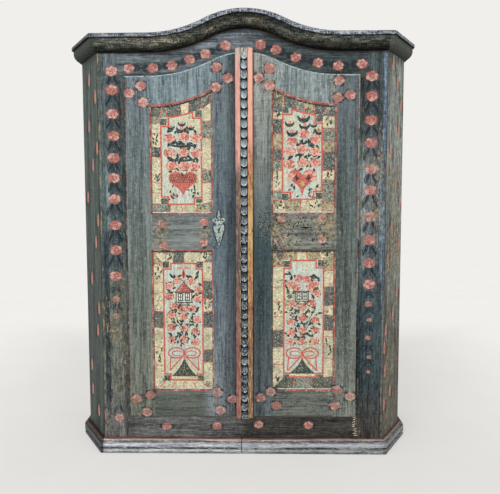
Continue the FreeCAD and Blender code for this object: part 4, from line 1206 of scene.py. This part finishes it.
# ---- painting on the case
# Radius of the roses of each place
rose_sizes = {"stile": 26.5, "frieze": 24, "foot": 21, "corner": 23, "rail": 20, "upper": 26, "lower": 20}
stile_u = 541.0
left_roses = (1632, 1554, 1455, 1364, 1272, 1188, 1099, 988, 881, 769)
right_roses = (1603, 1522, 1423, 1329, 1221, 1133, 1020, 922, 824, 734)
left_small = ((669, 17), (595, 15), (144, 22))
right_small = ((648, 16), (579, 12), (501, 13), (417, 11), (352, 10))
frieze_roses = ((-469, 1642), (-370, 1643), (-291, 1653), (-216, 1677), (-149, 1698), (-66, 1732),
                (79, 1734), (143, 1713), (225, 1681), (317, 1658), (401, 1646), (498, 1653))
bottom_roses = ((-331, 107), (-112, 109), (70, 116), (286, 114))

p = Painting("case_painting", "case", "case_paint")
for sign, heights, small in ((-1, left_roses, left_small), (1, right_roses, right_small)):
    p.on(case_front, "case_z", 0.04)
    u = sign * stile_u
    for high, low in zip(heights, heights[1:]):
        stile_leaves(p, u, high - 12, low + 8)
    for v in heights:
        rose(p, u + rng.uniform(-3, 3), v, rose_sizes["stile"], flat=0.80)
    p.on(case_front, "case_z", 0.25)
    for v, radius in small:
        stile_leaves(p, u, v + 62, v + 14)
        rose(p, u + rng.uniform(-3, 3), v, radius)

p.on(case_front, "case_x", 0.10)
for (u0, v0), (u1, v1) in zip(frieze_roses, frieze_roses[1:]):
    if u0 < 0 < u1:
        continue
    mid_u, mid_v = (u0 + u1) / 2, (v0 + v1) / 2
    tilt = math.degrees(math.atan2(v1 - v0, u1 - u0))
    reach = math.hypot(u1 - u0, v1 - v0) / 2 - 8
    p.spot(mid_u, mid_v, reach * 0.85, 15, "leaf_haze", 0)
    for sign in (-1, 1):
        for turn in (-30, 30):
            heading = tilt + turn + rng.uniform(-7, 7) + (180 if sign < 0 else 0)
            p.leaf(mid_u, mid_v, heading, reach, 15, "leaf", 1, bend=-turn * 0.9)
for u, v in frieze_roses:
    rose(p, u, v, rose_sizes["frieze"], flat=0.86)
red_line_v = cornice_z / MM - base - 4.0
red_line_end = arris_x / MM - 2
p.on(case_front, "case_x", 0.30)
red_line = [(u, red_line_v + serpentine(u)) for u in spaced(-red_line_end, red_line_end, 60)]
p.stroke(red_line, 2.6, "dull_red", 2)

p.on(case_front, "case_x", 0.15)
for u, v in bottom_roses:
    sprig(p, u - 18, v, 180, 18)
    sprig(p, u + 18, v, 0, 18)
    rose(p, u, v, rose_sizes["foot"])

# Short strokes in turns of three paints near the bottom rail's right end
ticks_u, ticks_v, tick_step, tick_count = 487, 150, 3.4, 26
for k in range(tick_count):
    u = ticks_u + rng.uniform(-7, 7)
    v = ticks_v - tick_step * k
    p.line([(u - 5, v), (u + rng.uniform(1, 6), v + rng.uniform(-2, 2))],
           2.6, ("white", "black", "gold")[k % 3], 1)

# Slim petals on the canted corners, as (from the arris, height)
left_petals = ((115, 1616), (30, 1531), (132, 1420), (18, 1315), (84, 1247), (175, 1107), (27, 1009),
               (65, 911), (141, 742), (42, 623), (65, 520), (175, 337), (168, 226), (79, 151))
right_petals = ((76, 1674), (137, 1596), (190, 1506), (163, 1401), (56, 1294), (12, 1228), (133, 1168),
                (196, 1070), (88, 973), (196, 888), (40, 837), (176, 678), (124, 582), (29, 529), (12, 456),
                (25, 349), (99, 242), (18, 204))
for sign, ground_name, petals in ((-1, "left_cant", left_petals), (1, "right_cant", right_petals)):
    for u, v in petals:
        p.on(cant_face(sign), ground_name, 0.30)
        p.leaf(u - 16, v - 14, 108, 70, 24, "leaf", 0, bend=-20)
        p.leaf(u + 16, v - 46, 72, 70, 24, "leaf", 0, bend=20)
        p.leaf(u - 20, v - 10, 112, 50, 3, "leaf_light", 1, bend=-20)
        p.on(cant_face(sign), ground_name, 0.05)
        p.leaf(u, v - 30, 92, 60, 27, "rose_light", 1, bend=6)
        p.leaf(u + 2, v - 25, 92, 48, 17, "rose", 2, bend=6)
p.finish()

# ---- painting on the doors
# Roses at the corners, as (across, height), on the ground of the stiles and then on that of the rails
door_roses = {
    "left": {"z": ((-468, 1538), (-419, 1569), (-410, 1500), (-103, 1641), (-56, 1597), (-106, 1560),
                   (-458, 234), (-399, 251), (-107, 263), (-42, 233), (-95, 185)),
             "x": ((-414, 175),)},
    "right": {"z": ((116, 1636), (71, 1597), (116, 1565), (402, 1584), (398, 1514), (450, 1524), (122, 267),
                    (78, 241), (406, 277), (462, 248)),
              "x": ((146, 207), (397, 208))},
}
rail_roses = {"left": ((-339, 993), (-160, 1001), (-333, 902), (-163, 914)),
              "right": ((165, 1011), (339, 1015), (339, 927))}
# Pitted places beside the lock, as (across, height, half width, half height, count)
door_pits = {"left": ((-112, 905, 16, 14, 12),), "right": ((98, 1008, 26, 46, 44), (92, 940, 16, 24, 12))}
# Worn places of the right door's middle rail, as foliage takes them
worn_rail = ((252, 964, 114, 56, 80, 12, 0, "black"), (180, 940, 44, 46, 46, 11, 1, "speckle"),
             (348, 992, 34, 34, 52, 11, 1, "speckle"), (260, 1000, 60, 16, 22, 9, 1, "speckle"),
             (252, 964, 114, 56, 30, 8, 1, "leaf_light"))
# Half widths of the dark halo painted round the lock's plate as its shadow, each with its share of the height
# from the top
plate_shadow_halves = ((4.0, 0.0), (10.0, 0.14), (13.0, 0.25), (22.0, 0.34), (28.0, 0.44),
                (28.0, 0.58), (22.0, 0.68), (17.0, 0.80), (11.0, 0.91), (5.0, 1.0))


def paint_frame(p, side):
    """Roses and leaves on the door's stiles and rails, its pits, and the right door's worn rail."""
    def on(grain, fade):
        p.on(door_fronts[side], side + "_door_" + grain, fade)

    clusters = door_roses[side].items()
    for grain, places in clusters:
        on(grain, 0.12)
        for u, v in places:
            for angle in (40, 130, 220, 310):
                sprig(p, *around(u, v, 17, 15, angle), angle + rng.uniform(-15, 15), 17)
    for grain, places in clusters:
        on(grain, 0.30)
        for u, v in places:
            foliage(p, u, v, 36, 34, 9, 11, 0, "black")
            foliage(p, u, v, 36, 34, 5, 9, 0, "leaf_light")
    for grain, places in clusters:
        for u, v in places:
            on(grain, 0.32 if v < 400 else 0.08)
            rose(p, u, v, rose_sizes["corner"], flat=0.90)
    for paint, fade, layer, part in (("black", 0.0, 0, 2), ("leaf_light", 0.25, 1, 1),
                                     ("speckle", 0.35, 1, 0.3)):
        on("z", fade)
        for u, v, half_u, half_v, count in door_pits[side]:
            foliage(p, u, v, half_u, half_v, int(count * part), 7, layer, paint)
    if side == "right":
        on("x", 0.62)
        p.spot(262, 952, 50, 34, "mound", 0, lobes=5, turn=20.0, ripple=0.25)
        p.spot(150, 1004, 30, 18, "mound", 0, lobes=4, turn=60.0, ripple=0.25)
        on("x", 0.08)
        for row in worn_rail:
            foliage(p, *row)
        on("x", 0.12)
        foliage(p, 160, 924, 26, 26, 16, 12, 1, "dull_light")
    else:
        on("x", 0.0)
    for u, v in rail_roses[side]:
        sprig(p, u, v - 16, -60, 18)
        rose(p, u, v, rose_sizes["rail"])


# ---- painting on the panels
opening_line = 2.6
opening_gap = 6.0
frame_line = 6.6
bouquet_foot = 41.0          # opening's lower edge to the foot of the bouquet
# Insets of each panel's red line at the left, right, top and bottom, and its notches as (width, height)
# at the upper left, upper right, lower left and lower right
frame_insets = {("left", "upper"): (41, 41, 50, 37), ("right", "upper"): (41, 54, 46, 56),
                ("left", "lower"): (44, 41, 53, 41), ("right", "lower"): (48, 43, 41, 55)}
frame_notches = {("left", "upper"): ((32, 37), (36, 24), (28, 31), (32, 27)),
                 ("right", "upper"): ((38, 20), (29, 33), (33, 29), (33, 33)),
                 ("left", "lower"): ((32, 24), (27, 24), (26, 26), (26, 26)),
                 ("right", "lower"): ((29, 34), (32, 31), (29, 17), (29, 17))}
# Marbled blocks of the left and right from the top down and of the top and bottom from the left, each as its
# kind's letter and its share of the length
block_kinds = {"s": "slate", "g": "grey", "c": "cream", "p": "speckle", "b": "slab", "l": "leafy", "f": "fan"}
border_plans = {
    ("left", "upper"): ("s8 g6 c9 l12 s9 c16 l7 c9 c10 g8",
                        "s8 c15 g14 c26 g11 c17 g8",
                        "s6 g4 s9 c5 s8 g6",
                        "g12 c8 c10 p10"),
    ("right", "upper"): ("s8 s9 l6 s12 p12 s10 g8 l16 g8 p10",
                         "s8 l10 g12 p8 s16 l8 g12 g10 p6",
                         "p8 s9 g6 p8 s9 g6",
                         "l8 p10 c6 l8 p8"),
    ("left", "lower"): ("p8 l12 c7 c12 s11 c13 l12 c16",
                        "g6 c12 s11 l8 s10 c14 s8 c17",
                        "c9 l6 s8 c12 l9",
                        "f1"),
    ("right", "lower"): ("p10 c14 c10 l10 c9 s12 c12 c9 l8",
                         "p12 c10 s12 c6 s10 c4 l14 c12 s8",
                         "s6 p8 c6 p8 l8",
                         "b9 g8 b9"),
}


def opening_lines(p, panel, paint):
    """Worn line on the door's frame, close over a panel's opening."""
    out = opening_gap + opening_line / 2
    across = spaced(panel.x0 - out, panel.x1 + out, 14)
    p.stroke([(u, panel.top(u) + out) for u in across], opening_line, paint, 1)


def border_blocks(p, panel, plans, insets):
    """Marbled blocks round the panel's border, parted by red lines, under a painted shadow along its top."""
    margin = 1.2
    shadow = 4.0
    left, right, depth, foot = [inset - frame_line / 2 for inset in insets]
    in_x0, in_x1, in_z0 = panel.x0 + left, panel.x1 - right, panel.z0 + foot

    def under_top(u, below):
        return panel.top(u) - below / (serpentine_lean(u) if panel.arched else 1.0)

    def side_at(outer_u, inner_u, s):
        return (outer_u, -s), (inner_u, max(in_z0, min(-s, under_top(inner_u, depth))))

    def bottom_at(s):
        return (max(in_x0, min(in_x1, s)), in_z0), (s, panel.z0 + margin)

    def top_at(s):
        inner_u = max(in_x0, min(in_x1, s))
        return (s, under_top(s, shadow)), (inner_u, under_top(inner_u, depth))

    def between(ends, share):
        (u0, v0), (u1, v1) = ends
        return u0 + (u1 - u0) * share, v0 + (v1 - v0) * share

    out_x0, out_x1 = panel.x0 + margin, panel.x1 - margin
    lanes = ((lambda s: side_at(out_x0, in_x0, s), -under_top(out_x0, shadow), -panel.z0 - margin, left),
             (lambda s: side_at(out_x1, in_x1, s), -under_top(out_x1, shadow), -panel.z0 - margin, right),
             (top_at, out_x0, out_x1, depth),
             (bottom_at, out_x0, out_x1, foot))
    across = spaced(out_x0, out_x1, 14)
    # Painted shadow: a dark stroke along the panel's top, under the frame
    p.stroke([(u, under_top(u, 3.6)) for u in across], 5.6, "black", 2)
    p.stroke([(u, panel.z0 + 2.4) for u in across], 3.6, "white", 2)
    for (quad_at, start, end, inset), plan in zip(lanes, plans):
        bend = min(1.0, (panel_border - margin) / (inset - margin))
        bend = 1.0 - bend if quad_at is bottom_at else bend
        shares = sorted({0.0, 0.2, 0.4, 0.6, 0.8, bend, 1.0})
        kinds = [block_kinds[word[0]] for word in plan.split()]
        parts = [float(word[1:]) for word in plan.split()]
        s = start
        for block, (kind, part) in enumerate(zip(kinds, parts)):
            stop = s + (end - start) * part / sum(parts)
            count = max(2, int((stop - s) / 7) + 1)
            paint = "cream" if kind in ("leafy", "fan") else kind
            rows = [quad_at(s + (stop - s) * i / count) for i in range(count + 1)]
            for low, high in zip(shares, shares[1:]):
                p.strip([(between(row, low), between(row, high)) for row in rows], paint, 0)
            if kind == "leafy":
                for j in range(7):
                    u, v = between(quad_at(s + (stop - s) * (0.14 + 0.12 * j)), rng.uniform(0.2, 0.8))
                    p.leaf(u, v, rng.uniform(60, 120), rng.uniform(11, 18), rng.uniform(5, 8), "black", 1,
                           bend=rng.uniform(-60, 60))
            if kind == "fan":
                for j in range(5):
                    (u0, v0), (u1, v1) = quad_at(s + (stop - s) * (0.18 + 0.16 * j))
                    p.stroke([(u0, v0 - 5), (u1 + (j - 2) * 13.0, v1 + 4)], 3.6, "red", 1)
            if block < len(kinds) - 1:
                slant = rng.uniform(-5, 5)
                du, dv = (slant, 0.0) if quad_at in (top_at, bottom_at) else (0.0, slant)
                (u0, v0), (u1, v1) = quad_at(stop)
                ends = (u0 + du, v0 + dv), (u1 - du, v1 - dv)
                p.stroke([between(ends, share) for share in shares], 2.8, "red", 1)
            s = stop


def frame_lines(p, panel, insets, notches):
    """Red inner line with stepped corners, and a mottled square in each step."""
    left, right, drop, foot = insets
    upper_left, upper_right, lower_left, lower_right = notches
    x0, x1, z0 = panel.x0 + left, panel.x1 - right, panel.z0 + foot

    def top(u):
        return panel.top(u) - drop / serpentine_lean(u) if panel.arched else panel.z1 - drop

    a0, a1 = x0 + upper_left[0], x1 - upper_right[0]
    b0, b1 = x0 + lower_left[0], x1 - lower_right[0]
    left_step, right_step = top(a0) - upper_left[1], top(a1) - upper_right[1]
    left_foot, right_foot = z0 + lower_left[1], z0 + lower_right[1]
    half = 13.5
    for u, v in ((x0 + 11, left_step + 19), (x1 - 11, right_step + 19),
                 (x0 + 11, left_foot - 19), (x1 - 11, right_foot - 19)):
        p.tiers(u, ((half, v + half), (half, v - half)), "slab", 1)
        foliage(p, u, v, half - 4, half - 6, 3, 9, 2, "black")
    p.line([(a0, top(a0)), (a0, left_step), (x0, left_step), (x0, left_foot), (b0, left_foot), (b0, z0),
            (b1, z0), (b1, right_foot), (x1, right_foot), (x1, right_step), (a1, right_step),
            (a1, top(a1))], frame_line, "red", 3)
    p.stroke([(u, top(u)) for u in spaced(a0, a1, 8)], frame_line, "red", 3)


def heart(p, u, v, half, tip, diamonds):
    """Red heart with a long point, hatched with dark strokes or set with two dark diamonds."""
    high = 29.0
    for sign in (-1, 1):
        rows = [((u, v - 0.1 * i), around(u + sign * half / 2, v, sign * half / 2, high, 168 - 24 * i))
                for i in range(8)]
        for i in range(1, 13):
            share = i / 12
            z = v - 1 - (v - 1 - tip) * share
            wide = half * ((1 - share ** 1.5) ** 4.0 if diamonds else (1 - share ** 1.7) ** 3.0)
            wide += (20 if diamonds else 7) * (1 - share) * share
            rows.append(((u, z), (u + sign * max(0.8, wide), z)))
        p.strip(rows, "heart", 3)
        for k in range(6):
            p.spot(u + sign * half * rng.uniform(0.2, 0.85), v + rng.uniform(-12, 18), 11, 8,
                   "rose_light" if diamonds else "rose", 4, lobes=5, turn=60 * k)
        if diamonds:
            du = u + sign * half * 0.42
            p.tiers(du, ((0.5, v + 10), (13, v - 6), (0.5, v - 22)), "maroon", 5)
            p.spot(du, v - 6, 5, 5, "black", 6)
    if diamonds:
        p.spot(u, v - 30, 9, 12, "gold", 5)
    else:
        for k in range(13):
            offset = (k - 6) * half * 0.135
            for lean in (-1, 1):
                p.line([(u + offset - lean * 6, v + 16), (u + offset + lean * 6, v - 17)], 2.6, "maroon", 5)
    for sign in (-1, 1):
        foliage(p, u + sign * half * 0.72, v - 62, half * 0.30, 24, 8, 16, 2)
        foliage(p, u + sign * half * 0.72, v - 66, half * 0.26, 20, 3, 12, 3, "red")


def house(p, u, v, roofed):
    """Small white half-timbered house, under a red roof or open."""
    wide, tall, ridge = (33.0 if roofed else 27.0), 44.0, 88.0
    p.tiers(u, ((wide, v + tall), (wide, v)), "white", 4)
    if roofed:
        p.tiers(u, ((1, v + ridge), (37, v + tall)), "heart", 5)
        for k in range(4):
            z = v + tall + 5 + 9 * k
            reach = 34 * (v + ridge - z) / (ridge - tall)
            p.line([(u - reach, z), (u + reach, z)], 2.0, "maroon", 6)
            p.line([(u - reach, z - 3), (u - reach * 0.2, z + 9)], 2.2, "rose_light", 6)
        for k in (-1, 1):
            p.line([(u + k * 39, v + tall - 2), (u - k * 6, v + ridge + 6)], 3.0, "maroon", 7)
    for k in (-1, 1):
        mid = u + wide * 0.45 * k
        pane = [(mid + du, v + dv) for du, dv in ((-9, 7), (-9, 37), (9, 37), (9, 7), (-9, 7))]
        p.line(pane, 4.2, "black", 5)
        p.line([(mid, v + 8), (mid, v + 36)], 3.2, "black", 5)
        p.line([(mid - 8, v + 22), (mid + 8, v + 22)], 3.2, "black", 5)
    for k in (-1, 1):
        p.line([(u + wide * k, v + 2), (u + wide * k, v + tall)], 3.6, "black", 5)
    p.line([(u - wide - 3, v + tall - 2), (u + wide + 3, v + tall - 2)], 4.0, "black", 6)
    p.line([(u - wide - 3, v), (u + wide + 3, v)], 4.4, "black", 6)
    for k in (-1, 1):
        p.line([(u + 10 * k, v - 2), (u + 27 * k, v - 20)], 3.6, "black", 4)
        p.line([(u + 24 * k, v - 2), (u + 12 * k, v - 20)], 2.8, "black", 4)
    p.line([(u - 22, v - 12), (u + 22, v - 12)], 3.2, "black", 4)


def bow(p, u, v):
    """Red ribbon bow with two double loops and two long tails."""
    for sign in (-1, 1):
        loop = [around(u + sign * 35, v + 3, -sign * 34, sign * 23, a) for a in range(0, 361, 24)]
        p.stroke(loop, 5.6, "red", 5)
        inner = [around(u + sign * 30, v + 1, -sign * 22, 11, a) for a in range(16, 345, 30)]
        p.stroke(inner, 3.6, "red", 5)
        tail = [(u + sign * (3 + 59 * (i / 8) ** 1.15), v - 6 - 68 * (i / 8) ** 1.1) for i in range(9)]
        p.stroke(tail, 5.2, "red", 5)
        side_tail = [(u + sign * (58 + 5 * i / 6), v - 12 - 62 * i / 6) for i in range(7)]
        p.stroke(side_tail, 4.6, "red", 5)
    p.spot(u, v + 2, 7, 9, "red", 6)


def mound(p, u, v, peak, half):
    """Dark green mound with hollow flanks, a reddish peak and a cream foot over a red line."""
    p.tiers(u, [(1 + half * (0.45 * share + 0.55 * share ** 2.2), peak - (peak - v) * share)
                for share in spaced(0, 1, 9)], "mound", 4)
    p.leaf(u, peak - 12, 90, 22, 8, "heart", 5)
    for k in range(14):
        share = rng.uniform(0.35, 0.92)
        p.leaf(u + rng.uniform(-0.8, 0.8) * half * share ** 2,
               peak - (peak - v) * share, rng.uniform(60, 120), 8, 3.0, "grey", 5)
    p.tiers(u, ((half, v + 1), (half, v - 11)), "cream", 4)
    p.line([(u - half - 3, v - 13), (u + half + 3, v - 13)], 3.4, "red", 5)


# Places of the panels' motifs, as (across, height)
upper_roses = {
    "left": ((-302, 1353), (-244, 1357), (-193, 1351), (-305, 1291), (-245, 1294), (-190, 1290), (-296, 1238),
             (-245, 1236), (-201, 1234)),
    "right": ((257, 1367), (210, 1336), (308, 1346), (202, 1293), (255, 1306), (305, 1293), (199, 1243),
              (255, 1251), (308, 1245)),
}
upper_leaves = {
    "left": ((-250, 1326, 64, 8, 22), (-250, 1267, 64, 8, 22), (-308, 1374, 7, 8, 3), (-190, 1372, 7, 8, 3),
             (-250, 1372, 34, 6, 5), (-250, 1214, 60, 5, 9)),
    "right": ((255, 1330, 22, 8, 8), (255, 1272, 28, 8, 10), (222, 1312, 12, 10, 4), (296, 1318, 20, 6, 5),
              (310, 1376, 12, 14, 4), (203, 1266, 26, 8, 5), (308, 1270, 26, 8, 5), (255, 1226, 55, 6, 7)),
}
upper_tulips = {
    "left": ((-250, 1402, 22), (-252, 1376, 30), (-296, 1388, 22), (-214, 1386, 23)),
    "right": ((258, 1416, 36), (262, 1386, 30), (200, 1398, 27), (210, 1358, 32), (322, 1364, 24),
              (300, 1394, 20)),
}
hearts = {"left": (-248, 1184, 61, 1103), "right": (254, 1190, 60, 1107)}
lower_roses = {
    "left": ((-277, 752), (-218, 748), (-309, 727), (-186, 715), (-312, 682), (-189, 672), (-293, 640),
             (-254, 627), (-215, 630), (-304, 603), (-252, 596), (-194, 582), (-304, 548), (-249, 545),
             (-200, 530), (-302, 492), (-253, 495), (-200, 484)),
    "right": ((241, 760), (276, 755), (206, 736), (309, 736), (231, 722), (317, 695), (290, 722), (212, 651),
              (255, 637), (296, 653), (209, 573), (258, 590), (310, 579), (210, 526), (259, 537), (313, 535),
              (207, 486), (253, 489), (311, 489)),
}
houses = {"left": (-249, 657), "right": (255, 662)}
lower_stalks = {"left": -250, "right": 257}


def upper_bouquet(p, side):
    """Rows of roses with dense leaves between them over a large heart."""
    for u, v, half_u, half_v, count in upper_leaves[side]:
        foliage(p, u, v, half_u, half_v, count, 22)
    if side == "left":
        for v in (1323, 1264):
            swag = [(-250 + 62 * i / 8, v - 5 + 8 * (i / 8) ** 2) for i in range(-8, 9)]
            p.stroke(swag, lambda share: 4.0 + 6.0 * math.sin(math.pi * share), "leaf", 2)
    for u, v, size in upper_tulips[side]:
        tulip(p, u, v, size)
    for u, v in upper_roses[side]:
        rose(p, u + rng.uniform(-2, 2), v + rng.uniform(-2, 2), rose_sizes["upper"], 3, 0.76, soft=False)
    u, v, half, tip = hearts[side]
    heart(p, u, v, half, tip, side == "right")


def lower_bouquet(p, side, z0):
    """A small house among roses over a ribbon bow and a green mound."""
    u = lower_stalks[side]
    house_u, house_v = houses[side]
    if side == "left":
        p.leaf(u, z0 + 440, 90, 46, 14, "heart", 3)
        p.leaf(u, z0 + 444, 90, 36, 6, "maroon", 4)
    for sign in (-1, 1):
        if side == "left":
            p.leaf(u, z0 + 484, 90 - sign * 60, 30, 7, "rose", 2, bend=-sign * 60)
        foliage(p, u + sign * 55, house_v + 50, 14, 48, 9, 23)
        foliage(p, u + sign * 42, house_v + 108, 20, 10, 4, 23)
    for v in (617, 570, 512):
        foliage(p, u, v, 66, 16, 17, 20)
    for sign in (-1, 1):
        p.stroke([(u + sign * 2, 500), (u + sign * 14, 552), (u + sign * 40, 606)], 2.6, "leaf", 2)
        p.stroke([(u + sign * 2, 520), (u + sign * 26, 556), (u + sign * 56, 572)], 2.4, "leaf", 2)
    foliage(p, u, 476, 50, 8, 7, 18)
    foliage(p, u, 560, 60, 60, 8, 12, 2, "gold")
    house(p, house_u, house_v, side == "left")
    for ru, rv in lower_roses[side]:
        rose(p, ru, rv, rose_sizes["lower"], 3, 0.84, soft=False)
    for v in (606, 556, 508):
        foliage(p, u, v, 62, 14, 6, 15, 6)
    mound(p, u, z0 + (15 if side == "left" else 29), z0 + 98, 56)
    bow(p, u, z0 + 116)


def paint_door(side):
    """Painting of one door, as one piece for its frame and one for each panel."""
    p = Painting(side + "_door_painting", side + "_door", "door_paint")
    if side == "left":
        plate_low, plate_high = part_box("escutcheon")
        plate_v = plate_high.z / MM - base + 3
        plate_tall = (plate_high.z - plate_low.z) / MM + 6
        p.on(door_fronts[side], "left_door_z")
        # Painted shadow round the lock's plate, as a dark halo under it
        p.tiers((plate_low.x + plate_high.x) / 2 / MM,
                [(half, plate_v - plate_tall * share) for half, share in plate_shadow_halves], "plate_shadow", 0)
    paint_frame(p, side)
    panels = {row: Raised(side + "_door_" + row + "_panel", row == "upper") for row in ("upper", "lower")}
    for row, panel in panels.items():
        p.on(door_fronts[side], side + "_door_z", 0.25)
        opening_lines(p, panel, "slab" if side == "right" and row == "lower" else "red")
    p.finish()
    for row, panel in panels.items():
        p = Painting(side + "_" + row + "_panel_painting", side + "_door", "panel_paint")
        p.on(panel, side + "_" + row + "_panel")
        border_blocks(p, panel, border_plans[side, row], frame_insets[side, row])
        frame_lines(p, panel, frame_insets[side, row], frame_notches[side, row])
        if row == "upper":
            upper_bouquet(p, side)
        else:
            lower_bouquet(p, side, panel.z0 + bouquet_foot)
        p.finish()


for side, sign in SIDES:
    paint_door(side)


# ---- stage
ambient = 0.55               # light of the world on the cupboard, while the camera sees plain paper
near_paper = 0.55            # share of plain paper in the floor beside the cupboard
paper_dark, paper_light, paper_sky = srgb(238, 236, 232), srgb(244, 242, 238), srgb(241, 239, 235)


def seen_ray(t):
    """1 for the rays that show the background: the camera's, and those through glass or off a gloss."""
    ray = t.node("ShaderNodeLightPath")
    mirrored = t.larger(ray.outputs["Is Glossy Ray"], ray.outputs["Is Transmission Ray"])
    return t.larger(ray.outputs["Is Camera Ray"], mirrored)


def make_stage():
    """Wide pale floor that shows plain paper away from the cupboard's own shadow."""
    reach = 14.0
    mesh = bpy.data.meshes.new("stage")
    corners = [(x * reach, y * reach, 0.0) for x, y in ((-1, -1), (1, -1), (1, 1), (-1, 1))]
    mesh.from_pydata(corners, [], [(0, 1, 2, 3)])
    t = new_material("stage_paper")
    paper = t.mix(t.noise(3.0), paper_dark, paper_light)
    shade = t.made("ShaderNodeBsdfDiffuse", 0, ("Color", paper))
    bright = t.made("ShaderNodeEmission", 0, ("Color", paper), ("Strength", 1.0))
    place = t.place
    far_on = t.larger(t.ramp(place.y, 1.2, 2.4), t.ramp(place.y, -0.7, -1.6))
    far = t.larger(t.ramp(abs(place.x), 0.8, 2.2), far_on)
    share = seen_ray(t) * (near_paper + far * (1.0 - near_paper))
    mesh.materials.append(t.show(t.made("ShaderNodeMixShader", 0, (0, share), (1, shade), (2, bright))))
    stage = add_object("stage", mesh)
    stage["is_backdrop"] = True


make_stage()

light_size = 3.0
light_target = Vector((0.0, 0.0, 0.9))
for name, place, power in (("key", (-2.2, -4.4, 3.1), 104.0), ("fill", (2.8, -4.0, 2.2), 40.0)):
    lamp_data = bpy.data.lights.new(name, "AREA")
    lamp_data.shape = "DISK"
    lamp_data.size = light_size
    lamp_data.energy = power
    lamp = add_object(name, lamp_data)
    lamp.location = place
    lamp.rotation_euler = (light_target - Vector(place)).to_track_quat("-Z", "Y").to_euler()

world = bpy.data.worlds.new("studio")
bpy.context.scene.world = world
world.use_nodes = True
background = world.node_tree.nodes["Background"]
sky = Tree(world, world.node_tree)
seen = seen_ray(sky)
sky.put(background.inputs["Color"], sky.mix(seen, (1.0, 1.0, 1.0, 1.0), paper_sky))
sky.put(background.inputs["Strength"], seen * (1.0 - ambient) + ambient)

# ---- camera
camera_place = Vector((0.036, -2.592, 1.124))
camera_yaw = math.radians(-1.24)
camera_pitch = math.radians(-4.35)
camera_roll = math.radians(-0.21)
focal_px = 560.0
centre_px = (238.4, 236.9)
image_width, image_height = 500, 494

camera_data = bpy.data.cameras.new("camera")
camera_data.sensor_fit = "HORIZONTAL"
camera_data.sensor_width = 36.0
camera_data.lens = focal_px * camera_data.sensor_width / image_width
camera_data.shift_x = (image_width / 2 - centre_px[0]) / image_width
camera_data.shift_y = (centre_px[1] - image_height / 2) / image_width
camera = add_object("camera", camera_data)
forward = Vector((math.sin(camera_yaw) * math.cos(camera_pitch),
                  math.cos(camera_yaw) * math.cos(camera_pitch), math.sin(camera_pitch)))
level = Vector((math.cos(camera_yaw), -math.sin(camera_yaw), 0.0))
upward = level.cross(forward)
right = level * math.cos(camera_roll) + upward * math.sin(camera_roll)
above = upward * math.cos(camera_roll) - level * math.sin(camera_roll)
camera.matrix_world = Matrix((
    (right.x, above.x, -forward.x, camera_place.x),
    (right.y, above.y, -forward.y, camera_place.y),
    (right.z, above.z, -forward.z, camera_place.z),
    (0.0, 0.0, 0.0, 1.0)))
bpy.context.scene.camera = camera
bpy.context.scene.view_settings.view_transform = "Standard"

# ---- sizes
low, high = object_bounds()
